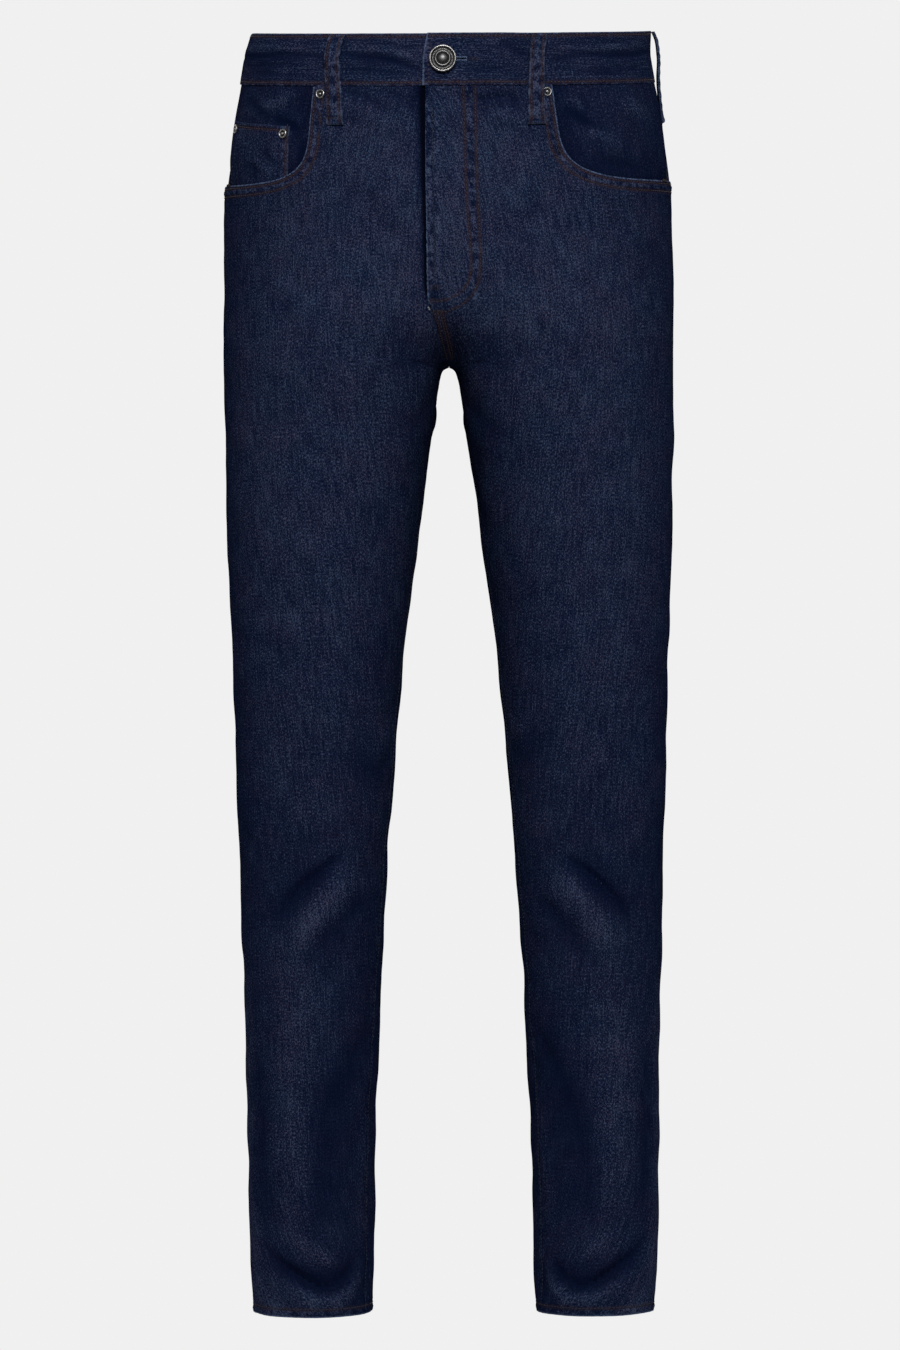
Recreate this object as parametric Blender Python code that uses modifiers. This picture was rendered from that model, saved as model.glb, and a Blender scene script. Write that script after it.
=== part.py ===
"""Slim fit jeans, filled out as they are worn: hollow denim walls that share one skin.

Metres, +Z up. The front faces -Y and the wearer's left is +X. The origin is the centre of the
waist ring, halfway up the waistband. Sizes in the tables are millimetres.

A place on the skin is given by three numbers:
  side   +1 for the wearer's left half, -1 for the right half
  share  0 at the centre front (or the inseam, below the fork), 1 at the outseam, 2 at the
         centre back (or the inseam again), even along the cloth between them
  level  height at the side, in millimetres; the waist dips a little to the front of it
"""
import math

import bmesh
import bpy
import numpy as np
from mathutils import Matrix, Vector

MM = 0.001

# Cloth
CLOTH = 1.2                  # one layer of denim
SEAM_GAP = 0.3               # between two pieces at a seam
HEM_DEPTH = 10.0             # the turned hem
HEM_THICKNESS = 2.6          # denim turned twice

# Levels
WAIST_TOP = 22.5
BAND_SEAM = -20.0
YOKE_AT_SIDE = -56.5
YOKE_AT_CENTRE = -90.0
JOIN = -150.0                # the first level row that runs straight across a panel
FORK = -254.0                # where the four legs' seams meet
HEM = -1030.0

# Fork: the fold radius rounds the skin across the plane between the legs
FOLD_RADIUS = 14.0

SECTION_COLUMNS = ("z", "outer", "side_y", "fork_y", "front", "front_x", "back", "back_x",
                   "round_front", "round_back", "round_inner", "outseam_turn")
SECTIONS = (
    (60, 162.5, 0, 0, -103, 14.6, 103, 14.6, 2.20, 2.20, 2.2, 3.5),
    (22.5, 164.0, 0, 0, -104, 14.6, 105, 14.6, 2.20, 2.20, 2.2, 3.5),
    (-20, 170.0, 0, -4, -106, 14.6, 109, 20, 2.20, 2.20, 2.2, 3.5),
    (-60, 177.6, 2, -8, -109, 14.8, 118, 34, 2.18, 2.18, 2.2, 4),
    (-100, 182.6, 4, -12, -111, 16, 127, 48, 2.15, 2.15, 2.25, 4),
    (-145, 184.4, 5, -12, -111.5, 24, 133, 60, 2.12, 2.10, 2.35, 4),
    (-180, 185.2, 6, -12, -110, 40, 134, 70, 2.10, 2.08, 2.5, 4.5),
    (-215, 185.5, 6, -12, -106.5, 62, 130, 80, 2.08, 2.06, 2.8, 5),
    (-254, 185.2, 6, -12, -100.5, 82, 120, 88, 2.06, 2.05, 3.0, 5),
    (-290, 184.9, 5, -8, -95, 92, 109, 94, 2.06, 2.05, 2.75, 5),
    (-330, 184.3, 4, -3, -89.5, 98, 100, 98, 2.06, 2.05, 2.45, 5),
    (-395, 183.1, 3, 1, -82.5, 103.5, 90, 103, 2.06, 2.05, 2.15, 5),
    (-461, 180.6, 3, 3, -76, 107, 83, 107, 2.06, 2.05, 2.06, 5),
    (-593, 176.5, 2, 2, -63, 112, 67, 112, 2.06, 2.05, 2.05, 4),
    (-725, 172.8, 6, 6, -52, 115, 65, 114, 2.06, 2.05, 2.05, 4),
    (-856, 169.9, 9, 9, -46, 116, 66, 116, 2.06, 2.05, 2.05, 2),
    (-960, 168.6, 10, 10, -45, 117, 66, 117, 2.06, 2.05, 2.05, -9),
    (-998, 167.3, 10, 10, -45.4, 116.6, 66, 116.6, 2.06, 2.05, 2.05, -29),
    (-1035, 165.6, 10, 10, -46, 116, 66, 116, 2.06, 2.05, 2.05, -53),
)

# Below the fork: half the gap between the legs, and the inseam's turn towards the front
LEG_COLUMNS = ("below_fork", "inner", "inseam_turn")
LEGS = (
    (0, 0.15, 0), (1, 3.6, 0), (6, 6.3, 1), (20, 8.4, 2), (45, 12.0, 3), (76, 16.9, 4),
    (142, 25.9, 6), (207, 34.6, 8), (339, 47.3, 12), (471, 56.4, 18), (602, 62.5, 23),
    (734, 65.9, 22), (781, 66.7, 20),
)

# Above the fork: how far out the rise seams lie, as shares of the skin's greatest depth
RISE_COLUMNS = ("above_fork", "front_share", "back_share")
RISES = (
    (0, 0, 0), (3, 0.27, 0.20), (10, 0.50, 0.38), (22, 0.72, 0.57), (40, 0.88, 0.75),
    (65, 0.955, 0.88), (100, 0.99, 0.955), (150, 0.998, 0.985), (220, 0.998, 0.996), (330, 0.998, 0.998),
)

# The waist dips towards the front, by these slopes over the distance from the side
TILT_SLOPE = 0.1075
TILT_BEND = 0.0225
TILT_EASE = 25.0
TILT_ENDS = -200.0

# The waist sits turned a little to the wearer's right
TWIST_AT_WAIST = 6.5         # degrees of the outseams' places

# Largest folds: (level, share, run in degrees from across, half length, half width, height,
# bend): the bend curves the fold's ends down where it is positive
FOLD_COLUMNS = ("level", "share", "run", "half_length", "half_width", "height", "bend")
LARGEST_FOLDS = (
    (-681, 0.49, -48, 32, 12, -3.6, 0.0),
    (-702, 0.39, -50, 34, 13, 2.8, 0.0),
    (-1001, 0.45, 2, 34, 10, -3.4, -0.012),
    (-1016, 0.41, -5, 28, 8, 2.4, -0.018),
    (-600, 1.48, 12, 50, 13, -3.6, 0.003),
    (-628, 1.52, -8, 46, 13, 2.6, 0.0),
)

# Fly
FLY_EDGE = 17.3              # the left front reaches this far past the centre
FLY_UNDERLAP = 12.0
FLY_UNDERLAP_WHOLE = -165.0
FLY_BOTTOM = -205.0
FLY_LIFT = 1.6
FLY_SETTLES = (-236.0, -214.0)
RISE_SEAM_COLUMNS = ("level", "past_centre")
RISE_SEAM = ((-205, 17.3), (-214, 14.2), (-228, 10.2), (-240, 7.0), (-248, 4.4), (-252, 2.0),
             (-254, 0.0))

# Front pocket mouths: where the scoop leaves the band seam, its depth at the outseam and how
# square it is
MOUTH_FROM_CENTRE = {+1: 83.5, -1: 109.0}
MOUTH_DEPTH = {+1: 81.0, -1: 84.0}
MOUTH_POWER = {+1: 5.2, -1: 6.0}
MOUTH_LIFT = 1.0
MOUTH_EASE = 22.0
MOUTH_COLUMNS = (0.995, 0.97, 0.93, 0.86, 0.72, 0.55, 0.37, 0.18, 0)
FACING_UNDER = 16.0
FACING_OUTER = {+1: -2.3, -1: -3.4}
FACING_SINKS = 1.0           # deeper again behind the front
FACING_EASE = 10.0
FACING_SHORT = 0.4           # of the outseam
FACING_RISE = {+1: 2.2, -1: 2.8}    # it swells out again inside the mouth
FACING_RISES_WITHIN = 26.0
FACING_AT_SEAM = -0.7        # and comes up to the waistband
FACING_AT_SEAM_FROM = -52.0
COIN_SHARES = (0.52, 0.83)
COIN_TOP = (-53.5, -49.5)    # at its inner and its outer edge
COIN_BOTTOM = -110.0
FACING_BOTTOM = -124.0
COIN_THICKNESS = 1.0
COIN_GAP = 0.5

# Waistband
BAND_OUTER = 0.7
BAND_INNER = -1.9
BAND_LAP_LIFT = 2.9
BAND_UNDERLAP = 32.0
BUTTON_X = -4.0
BUTTON_LEVEL = 1.2
BUTTONHOLE = (-7.0, 15.0)    # from and to, across
BUTTONHOLE_HALF_HEIGHT = 2.05

# Belt loops
LOOP_WIDTH = 13.0
LOOP_THICKNESS = 1.7
LOOP_COLUMNS = ("level", "standoff")
LOOP_PATH = ((21.8, 1.3), (15.5, 4.4), (8, 6.2), (0, 6.6), (-9, 5.2), (-18, 3.4), (-30, 1.9), (-42, 0.9),
             (-53, 0.5))

LOOPS_COLUMNS = ("name", "side", "share", "lean")
LOOPS = (("belt_loop_front_left", +1, 0.324, 0.06), ("belt_loop_front_right", -1, 0.373, 0.075),
         ("belt_loop_side_left", +1, 1.05, 0.0), ("belt_loop_side_right", -1, 1.12, 0.0),
         ("belt_loop_back", +1, 2.0, 0.0))

# Back pockets
POCKET_CENTRE = 110.0        # from the centre back, along the cloth
POCKET_TOP_WIDTH = 146.0
POCKET_BOTTOM_WIDTH = 132.0
POCKET_SIDE_HEIGHT = 128.0
POCKET_POINT = 24.0
POCKET_BELOW_YOKE = 17.0
POCKET_THICKNESS = 1.0
POCKET_SEATED = 1.4          # clears the facets of the back, which are longer than its own
POCKET_LEAN = 0.07

# Rows of the panels from the join down: their levels at the outseam and at the rise or inseam
ROW_COLUMNS = ("at_side", "at_inseam")
ROWS = (
    (JOIN, JOIN), (-163, -170), (-176, -192), (-189, -214), (-201, -232), (-212, -244),
    (-221, -251), (-229, FORK), (-243, -259), (-258, -268), (-277, -284), (-303, -307),
    (-340, -341), (-400, -400), (-465, -465), (-525, -525), (-575, -575), (-606, -606),
    (-636, -636), (-662, -662), (-686, -686), (-712, -712), (-750, -750), (-825, -825),
    (-900, -900), (-955, -955), (-985, -985), (-1002, -1002), (-1014, -1014), (HEM, HEM),
)
# Columns of the panels, from the outseam; the outer ones keep their distances from it where the
# cloth widens at the fork
FRONT_COLUMNS = (1, 0.94, 0.86, 0.77, 0.68, 0.59, 0.50, 0.41, 0.33, 0.25, 0.18, 0.12, 0.06, 0)
BACK_COLUMNS = tuple(step / 12 for step in range(13))
OUTER_COLUMNS = 0.6
WIDENS_BETWEEN = (-178.0, -264.0)
ARC_STEPS = 72


# ---------------------------------------------------------------------------------------------
# The skin

class Track:
    """A natural cubic spline through a table's column."""

    def __init__(self, places, values):
        order = np.argsort(places)
        self.x = np.array(places, float)[order]
        self.y = np.array(values, float)[order]
        span = np.diff(self.x)
        slope = np.diff(self.y) / span
        count = len(self.x)
        matrix = np.eye(count)
        bend = np.zeros(count)
        for k in range(1, count - 1):
            matrix[k, k - 1:k + 2] = span[k - 1], 2 * (span[k - 1] + span[k]), span[k]
            bend[k] = 6 * (slope[k] - slope[k - 1])
        self.curve = np.linalg.solve(matrix, bend)
        self.span = span

    def __call__(self, place):
        place = np.clip(place, self.x[0], self.x[-1])
        k = np.clip(np.searchsorted(self.x, place) - 1, 0, len(self.span) - 1)
        h = self.span[k]
        left = self.x[k + 1] - place
        right = place - self.x[k]
        cubic = self.curve[k] * left ** 3 + self.curve[k + 1] * right ** 3
        ends = (self.y[k] / h - self.curve[k] * h / 6) * left
        return cubic / (6 * h) + ends + (self.y[k + 1] / h - self.curve[k + 1] * h / 6) * right


def column(table, columns, name):
    return [row[columns.index(name)] for row in table]


SECTION = {name: Track(column(SECTIONS, SECTION_COLUMNS, "z"), column(SECTIONS, SECTION_COLUMNS, name))
           for name in SECTION_COLUMNS[1:]}
BELOW = {name: Track(np.sqrt(column(LEGS, LEG_COLUMNS, "below_fork")), column(LEGS, LEG_COLUMNS, name))
         for name in LEG_COLUMNS[1:]}
ABOVE = {name: Track(np.sqrt(column(RISES, RISE_COLUMNS, "above_fork")), column(RISES, RISE_COLUMNS, name))
         for name in RISE_COLUMNS[1:]}


def ease(start, end, value):
    """0 before start, 1 after end, smooth between."""
    t = np.clip((value - start) / (end - start), 0, 1)
    return t * t * (3 - 2 * t)


def section(z):
    """The sizes of the level section at height z, and the turns where its half begins and ends."""
    p = {name: track(z) for name, track in SECTION.items()}
    p["outer"] = np.sqrt(p["outer"] ** 2 + FOLD_RADIUS ** 2)
    above = np.sqrt(np.maximum(z - FORK, 0))
    below = np.sqrt(np.maximum(FORK - z, 0))
    joined = z > FORK
    n = p["round_inner"]
    for face in ("front", "back"):
        centre = p[face + "_x"]
        share = np.clip(ABOVE[face + "_share"](above), 0, 0.998)
        left_over = 1 - share ** n
        wall = np.sqrt(BELOW["inner"](below) ** 2 + FOLD_RADIUS ** 2)
        reach = (centre - FOLD_RADIUS) / left_over ** (1 / n)
        p[face + "_inner"] = np.where(joined, reach, centre - wall)
        p[face + "_clip"] = np.arccos(np.sqrt(left_over))
    inseam = np.radians(BELOW["inseam_turn"](below))
    p["begin"] = np.where(joined, p["front_clip"], inseam)
    p["end"] = 2 * math.pi + np.where(joined, -p["back_clip"], inseam)
    return p


def quarter(p, turn):
    """Centre, half sizes and power of the quarter of the section that a turn lies in."""
    fore = np.sin(turn) >= 0
    inside = np.cos(turn) >= 0
    centre_x = np.where(fore, p["front_x"], p["back_x"])
    centre_y = np.where(inside, p["fork_y"], p["side_y"])
    inner = np.where(fore, p["front_inner"], p["back_inner"])
    half_x = np.where(inside, inner, p["outer"] - centre_x)
    half_y = np.where(fore, centre_y - p["front"], p["back"] - centre_y)
    power = np.where(inside, p["round_inner"], np.where(fore, p["round_front"], p["round_back"]))
    return centre_x, centre_y, half_x, half_y, power


def ring(p, turn):
    """Points of a section: turn 0 is innermost, then front, outermost and back."""
    centre_x, centre_y, half_x, half_y, power = quarter(p, turn)
    cosine = np.cos(turn)
    sine = np.sin(turn)
    folded = centre_x - np.sign(cosine) * half_x * np.abs(cosine) ** (2 / power)
    x = np.sqrt(np.maximum(folded ** 2 - FOLD_RADIUS ** 2, 0))
    y = centre_y - np.sign(sine) * half_y * np.abs(sine) ** (2 / power)
    return x, y


def fullness(z, turn, x, y):
    """Below 1 inside the skin and above 1 outside it."""
    centre_x, centre_y, half_x, half_y, power = quarter(section(z), turn)
    folded = np.sqrt(x ** 2 + FOLD_RADIUS ** 2)
    across = np.abs(folded - centre_x) / half_x
    return across ** power + (np.abs(y - centre_y) / half_y) ** power


def outseam_turn(p, side, z):
    twist = side * TWIST_AT_WAIST * ease(FORK, WAIST_TOP, z)
    return math.pi + np.radians(p["outseam_turn"] - twist)


def column_of(p):
    return {name: value[:, None] for name, value in p.items()}


def half_turns(p, side, z, back, step):
    """Turns a share of the way along the front or back half of each section. The steps are
    finer towards the plane between the legs, where the skin folds."""
    seam = outseam_turn(p, side, z)
    if back:
        return seam + (p["end"] - seam) * np.sin(step * math.pi / 2)
    return p["begin"] + (seam - p["begin"]) * (1 - np.cos(step * math.pi / 2))


def arc_lengths(side, z, back):
    """The cloth's length up to each step along the front or back half of each section."""
    p = column_of(section(z))
    step = np.arange(ARC_STEPS + 1)[None, :] / ARC_STEPS
    x, y = ring(p, half_turns(p, side, z[:, None], back, step))
    runs = np.hypot(np.diff(x, axis=1), np.diff(y, axis=1))
    return np.concatenate([np.zeros((len(z), 1)), np.cumsum(runs, axis=1)], axis=1)


def skin(side, share, z):
    """Points of the skin and its outward unit normals, for arrays of places."""
    share, z = np.broadcast_arrays(np.asarray(share, float), np.asarray(z, float))
    shape = share.shape
    share = share.ravel()
    z = z.ravel()
    far = (share < 0) | (share > 2)
    share = np.where(share < 0, -share, np.where(share > 2, 4 - share, share))
    half = np.where(far, -side, side)
    turn = np.zeros(len(z))
    for one_side in (+1, -1):
        for back in (False, True):
            pick = (half == one_side) & ((share > 1) == back)
            if not pick.any():
                continue
            length = arc_lengths(one_side, z[pick], back)
            target = (share[pick] - back) * length[:, -1]
            k = np.clip((length < target[:, None]).sum(axis=1) - 1, 0, ARC_STEPS - 1)
            row = np.arange(len(target))
            t = (target - length[row, k]) / (length[row, k + 1] - length[row, k])
            step = (k + np.clip(t, 0, 1)) / ARC_STEPS
            turn[pick] = half_turns(section(z[pick]), one_side, z[pick], back, step)
    x, y = ring(section(z), turn)
    nudge = 0.05
    slope_x = fullness(z, turn, x + nudge, y) - fullness(z, turn, np.maximum(x - nudge, 0), y)
    slope_x = np.where(x < nudge, 0, slope_x)
    slope_y = fullness(z, turn, x, y + nudge) - fullness(z, turn, x, y - nudge)
    slope_z = fullness(z + nudge, turn, x, y) - fullness(z - nudge, turn, x, y)
    normal = np.stack([half * slope_x, slope_y, slope_z], axis=-1)
    normal /= np.linalg.norm(normal, axis=-1, keepdims=True)
    point = np.stack([half * x, y, z], axis=-1)
    return point.reshape(shape + (3,)), normal.reshape(shape + (3,))


MEASURE_LEVELS = np.arange(-1040.0, 60.0, 5.0)
HALF_LENGTHS = {(side, back): arc_lengths(side, MEASURE_LEVELS, back)[:, -1]
                for side in (+1, -1) for back in (False, True)}
WAIST_SHARES = np.linspace(-0.3, 2.3, 105)
WAIST_Y = {side: skin(side, WAIST_SHARES, np.zeros(105))[0][:, 1] for side in (+1, -1)}


def front_length(side, level):
    return np.interp(level, MEASURE_LEVELS, HALF_LENGTHS[side, False])


def back_length(side, level):
    return np.interp(level, MEASURE_LEVELS, HALF_LENGTHS[side, True])


def front_share(side, across, level):
    """The share at a distance across from the centre front; negative past the centre."""
    across = np.asarray(across, float)
    own = across / front_length(side, level)
    return np.where(across < 0, across / front_length(-side, level), own)


def back_share(side, across, level):
    """The share at a distance across from the centre back; negative past the centre."""
    across = np.asarray(across, float)
    own = across / back_length(side, level)
    return 2 - np.where(across < 0, across / back_length(-side, level), own)


def height(side, share, level):
    """The true height of a level, which dips to the front at the waist."""
    y = np.interp(share, WAIST_SHARES, WAIST_Y[side])
    dip = TILT_SLOPE * y - TILT_BEND * (np.sqrt(y ** 2 + TILT_EASE ** 2) - TILT_EASE)
    return level + dip * ease(TILT_ENDS, BAND_SEAM, level)


def folds(side, share, level):
    """How far the largest folds move the cloth out or in."""
    total = np.zeros(np.broadcast(share, level).shape)
    for row in LARGEST_FOLDS:
        fold = dict(zip(FOLD_COLUMNS, row))
        length = front_length if fold["share"] < 1 else back_length
        across = (share - fold["share"]) * length(side, fold["level"])
        up = level - fold["level"]
        run = math.radians(fold["run"])
        along = across * math.cos(run) + up * math.sin(run)
        aside = up * math.cos(run) - across * math.sin(run) + fold["bend"] * along ** 2
        shape = np.exp(-(aside / fold["half_width"]) ** 2 - (along / fold["half_length"]) ** 4)
        total = total + fold["height"] * shape
    return total


def place(side, share, level, lift):
    """Points lifted off the skin, in metres."""
    share, level, lift = np.broadcast_arrays(np.asarray(share, float), level, lift)
    point, normal = skin(side, share, height(side, share, level))
    out = lift + folds(side, share, level)
    return (point + normal * out[..., None]) * MM


# ---------------------------------------------------------------------------------------------
# Makers

def material(name, colour, roughness, metallic=0.0):
    made = bpy.data.materials.new(name)
    made.use_nodes = True
    shader = made.node_tree.nodes["Principled BSDF"]
    shader.inputs["Base Color"].default_value = (*colour, 1)
    shader.inputs["Roughness"].default_value = roughness
    shader.inputs["Metallic"].default_value = metallic
    return made


def add(name, mesh, collection, finish):
    made = bpy.data.objects.new(name, mesh)
    mesh.materials.append(finish)
    collection.objects.link(made)
    return made


def wall(name, outer, inner, collection, finish, keep=None):
    """A cloth wall lofted between two grids of points, with rims round its edges and holes."""
    rows, columns = outer.shape[:2]
    if keep is None:
        keep = np.ones((rows - 1, columns - 1), bool)
    bm = bmesh.new()
    sheets = [[[bm.verts.new(point) for point in row] for row in sheet] for sheet in (outer, inner)]
    for i in range(rows - 1):
        for j in range(columns - 1):
            if not keep[i, j]:
                continue
            corners = ((i, j), (i + 1, j), (i + 1, j + 1), (i, j + 1))
            for sheet, order in zip(sheets, (corners, corners[::-1])):
                bm.faces.new([sheet[a][b] for a, b in order])
            sides = (((0, -1), 0), ((1, 0), 1), ((0, 1), 2), ((-1, 0), 3))
            for (down, across), k in sides:
                a, b = i + down, j + across
                inside = 0 <= a < rows - 1 and 0 <= b < columns - 1
                if inside and keep[a, b]:
                    continue
                first = corners[k]
                second = corners[(k + 1) % 4]
                rim = (sheets[0][first[0]][first[1]], sheets[0][second[0]][second[1]],
                       sheets[1][second[0]][second[1]], sheets[1][first[0]][first[1]])
                bm.faces.new(rim[::-1])
    unused = [vert for vert in bm.verts if not vert.link_faces]
    bmesh.ops.delete(bm, geom=unused, context="VERTS")
    bmesh.ops.recalc_face_normals(bm, faces=bm.faces)
    if bm.calc_volume(signed=True) < 0:
        bmesh.ops.reverse_faces(bm, faces=bm.faces)
    mesh = bpy.data.meshes.new(name)
    bm.to_mesh(mesh)
    bm.free()
    return add(name, mesh, collection, finish)


def patch(name, side, share, level, outer, inner, collection, finish, keep=None):
    """A wall over a grid of places, between an outer and an inner lift."""
    return wall(name, place(side, share, level, outer), place(side, share, level, inner),
                collection, finish, keep)


def turned(name, profile, steps, at, collection, finish):
    """A turned piece: the profile of (radius, height) runs from its top down its outer side."""
    mesh = bpy.data.meshes.new(name)
    points = [(radius * MM, 0, up * MM) for radius, up in profile]
    mesh.from_pydata(points, [(k, k + 1) for k in range(len(points) - 1)], [])
    made = add(name, mesh, collection, finish)
    screw = made.modifiers.new("turn", "SCREW")
    screw.steps = steps
    screw.render_steps = steps
    screw.use_merge_vertices = True
    screw.merge_threshold = 0.00001
    made.matrix_world = at
    return made


def stand_on(side, share, level, lift):
    """A frame whose +Z is the skin's normal and whose origin is lifted off the skin."""
    point, normal = skin(side, np.array([share]), height(side, np.array([share]), level))
    out = lift + folds(side, np.array([share]), level)
    origin = Vector((point[0] + normal[0] * out[0]) * MM)
    turn = Vector(normal[0]).to_track_quat("Z", "Y").to_matrix().to_4x4()
    return Matrix.Translation(origin) @ turn


# ---------------------------------------------------------------------------------------------
# Pieces

def panel_rows():
    """The levels of the panels' rows at the outseam and at the rise or inseam."""
    return (np.array(column(ROWS, ROW_COLUMNS, name), float) for name in ROW_COLUMNS)


def panel_grid(side, columns, length, inner_edge, sign):
    """Places of a panel below the join. Its rows bend down towards the fork, so that they cross
    the rise seam evenly."""
    at_side, at_inseam = panel_rows()
    columns = np.asarray(columns, float)[None, :]
    level = at_side[:, None] + (at_inseam - at_side)[:, None] * ease(0.1, 1, columns)
    wide, widest = WIDENS_BETWEEN
    kept = length(side, wide) / length(side, np.clip(level, widest, wide))
    inner = (1 - kept * OUTER_COLUMNS) / (1 - OUTER_COLUMNS)
    run = kept * columns + (inner - kept) * np.clip(columns - OUTER_COLUMNS, 0, None)
    start = side_edge(side, level, sign)
    stop = inner_edge(side, at_inseam)[:, None]
    return start + (stop - start) * run, level


def hem_inner(level):
    """The inner face of a leg panel: thicker where the hem is turned."""
    return -CLOTH - (HEM_THICKNESS - CLOTH) * (level < HEM + HEM_DEPTH - 1)


def rise_seam(level):
    """How far past the centre the front rise seam lies."""
    levels = column(RISE_SEAM, RISE_SEAM_COLUMNS, "level")
    past = column(RISE_SEAM, RISE_SEAM_COLUMNS, "past_centre")
    return np.interp(level, levels[::-1], past[::-1])


def front_edge(side, level):
    """Share of a front's inner edge: the fly, then the rise seam, then the inseam."""
    level = np.asarray(level, float)
    seam = rise_seam(level)
    if side > 0:
        across = -seam + np.where(level < FLY_BOTTOM, SEAM_GAP / 2, 0)
    else:
        underlap = FLY_UNDERLAP * ease(FLY_BOTTOM, FLY_UNDERLAP_WHOLE, level)
        across = np.where(level < FLY_BOTTOM, seam + SEAM_GAP / 2, seam - underlap)
    across = np.where(level <= FORK, SEAM_GAP / 2, across)
    return front_share(side, across, level)


def side_edge(side, level, sign):
    """Share of an edge at the outseam, on its front (-1) or back (+1) side."""
    length = front_length(side, level) if sign < 0 else back_length(side, level)
    return 1 + sign * SEAM_GAP / 2 / length


def mouth_share(side):
    return float(front_share(side, MOUTH_FROM_CENTRE[side], BAND_SEAM))


def past_mouth(side, share, level):
    """How far a place on a front lies outside its pocket's mouth."""
    across = np.clip((1 - share) / (1 - mouth_share(side)), 0, None)
    down = np.clip((BAND_SEAM - level) / MOUTH_DEPTH[side], 0, None)
    power = MOUTH_POWER[side]
    return ((across ** power + down ** power) ** (1 / power) - 1) * MOUTH_DEPTH[side]


def front_lift(side, share, level):
    """A front stands out along its pocket mouth, and the left one over the fly."""
    lift = MOUTH_LIFT * (1 - ease(0, MOUTH_EASE, past_mouth(side, share, level)))
    if side > 0:
        across = share * front_length(side, level)
        lift = lift + FLY_LIFT * (1 - ease(2, 26, across)) * ease(*FLY_SETTLES, level)
    return lift


def front_grid(side):
    """Places of a front: round the pocket mouth above the join, straight rows below it."""
    top_level = BAND_SEAM - SEAM_GAP / 2
    mouth = mouth_share(side)
    edge = float(front_edge(side, BAND_SEAM))
    seam = edge + (mouth - edge) * np.array([0, 0.15, 0.36, 0.68, 1.0])
    across = np.array(MOUTH_COLUMNS)
    down = (1 - across ** MOUTH_POWER[side]) ** (1 / MOUTH_POWER[side])
    stop = float(side_edge(side, BAND_SEAM - MOUTH_DEPTH[side], -1))
    top_share = np.concatenate([seam, stop - (stop - mouth) * across])
    top = np.concatenate([np.full(len(seam), top_level), top_level - MOUTH_DEPTH[side] * down])
    share, level = panel_grid(side, FRONT_COLUMNS, front_length, front_edge, -1)
    steps = np.array([0, 0.2, 0.45, 0.72])[:, None]
    upper_share = top_share + (share[0] - top_share) * steps
    upper_level = top + (JOIN - top) * steps
    return np.concatenate([upper_share, share]), np.concatenate([upper_level, level])


def make_front(name, side, collection, finish):
    share, level = front_grid(side)
    lift = front_lift(side, share, level)
    return patch(name, side, share, level, lift, lift + hem_inner(level), collection, finish)


def yoke_level(share):
    return YOKE_AT_SIDE + (YOKE_AT_CENTRE - YOKE_AT_SIDE) * (share - 1)


def back_edge(side, level):
    """Share of a back's inner edge: the centre back seam, then the inseam."""
    return back_share(side, SEAM_GAP / 2, level)


def make_back(name, side, collection, finish):
    share, level = panel_grid(side, BACK_COLUMNS, back_length, back_edge, +1)
    top = yoke_level(share[0]) - SEAM_GAP / 2
    steps = np.array([0, 0.33, 0.66])[:, None]
    share = np.concatenate([np.repeat(share[:1], 3, axis=0), share])
    level = np.concatenate([top + (JOIN - top) * steps, level])
    return patch(name, side, share, level, 0, hem_inner(level), collection, finish)


def make_yoke(name, side, collection, finish):
    start = float(side_edge(side, BAND_SEAM, +1))
    stop = float(back_edge(side, BAND_SEAM))
    share = start + (stop - start) * np.asarray(BACK_COLUMNS)
    top = np.full(len(share), BAND_SEAM - SEAM_GAP / 2)
    bottom = yoke_level(share) + SEAM_GAP / 2
    level = np.stack([top, (top + bottom) / 2, bottom])
    share = np.repeat(share[None, :], 3, axis=0)
    return patch(name, side, share, level, 0, -CLOTH, collection, finish)


def facing_shares(side):
    """Shares of a pocket facing's columns; the coin pocket uses the same ones."""
    start = float(front_share(side, MOUTH_FROM_CENTRE[side] - FACING_UNDER, BAND_SEAM))
    stop = float(side_edge(side, BAND_SEAM, -1)) - FACING_SHORT / float(front_length(side, BAND_SEAM))
    middle = np.linspace(COIN_SHARES[0], COIN_SHARES[1], 5)
    return np.concatenate([[start, (start + middle[0]) / 2], middle,
                           [(middle[-1] + stop) / 2, stop]])


def facing_lift(side, share, level):
    """A facing fills its mouth: it rises away from the front's edge, and up to the band seam."""
    past = past_mouth(side, share, level)
    under = ease(0, FACING_EASE, past)
    rise = FACING_RISE[side] * ease(0, FACING_RISES_WITHIN, -past)
    at_seam = (FACING_AT_SEAM - FACING_OUTER[side]) * ease(FACING_AT_SEAM_FROM, BAND_SEAM, level)
    return FACING_OUTER[side] + np.maximum(rise, at_seam) * (1 - under) - FACING_SINKS * under


def make_facing(name, side, collection, finish):
    share = facing_shares(side)
    level = np.array([BAND_SEAM - SEAM_GAP / 2, -52, -80, COIN_BOTTOM, FACING_BOTTOM])
    grid_share, grid_level = np.meshgrid(share, level)
    outer = facing_lift(side, grid_share, grid_level)
    return patch(name, side, grid_share, grid_level, outer, outer - CLOTH, collection, finish)


def make_coin_pocket(name, side, collection, finish):
    share = facing_shares(side)[2:7]
    top = np.linspace(COIN_TOP[0], COIN_TOP[1], len(share))
    grid_share = np.repeat(share[None, :], 3, axis=0)
    grid_level = np.stack([top, np.full(len(share), -80.0), np.full(len(share), COIN_BOTTOM)])
    inner = facing_lift(side, grid_share, grid_level) + COIN_GAP
    return patch(name, side, grid_share, grid_level, inner + COIN_THICKNESS, inner, collection, finish)


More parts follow.
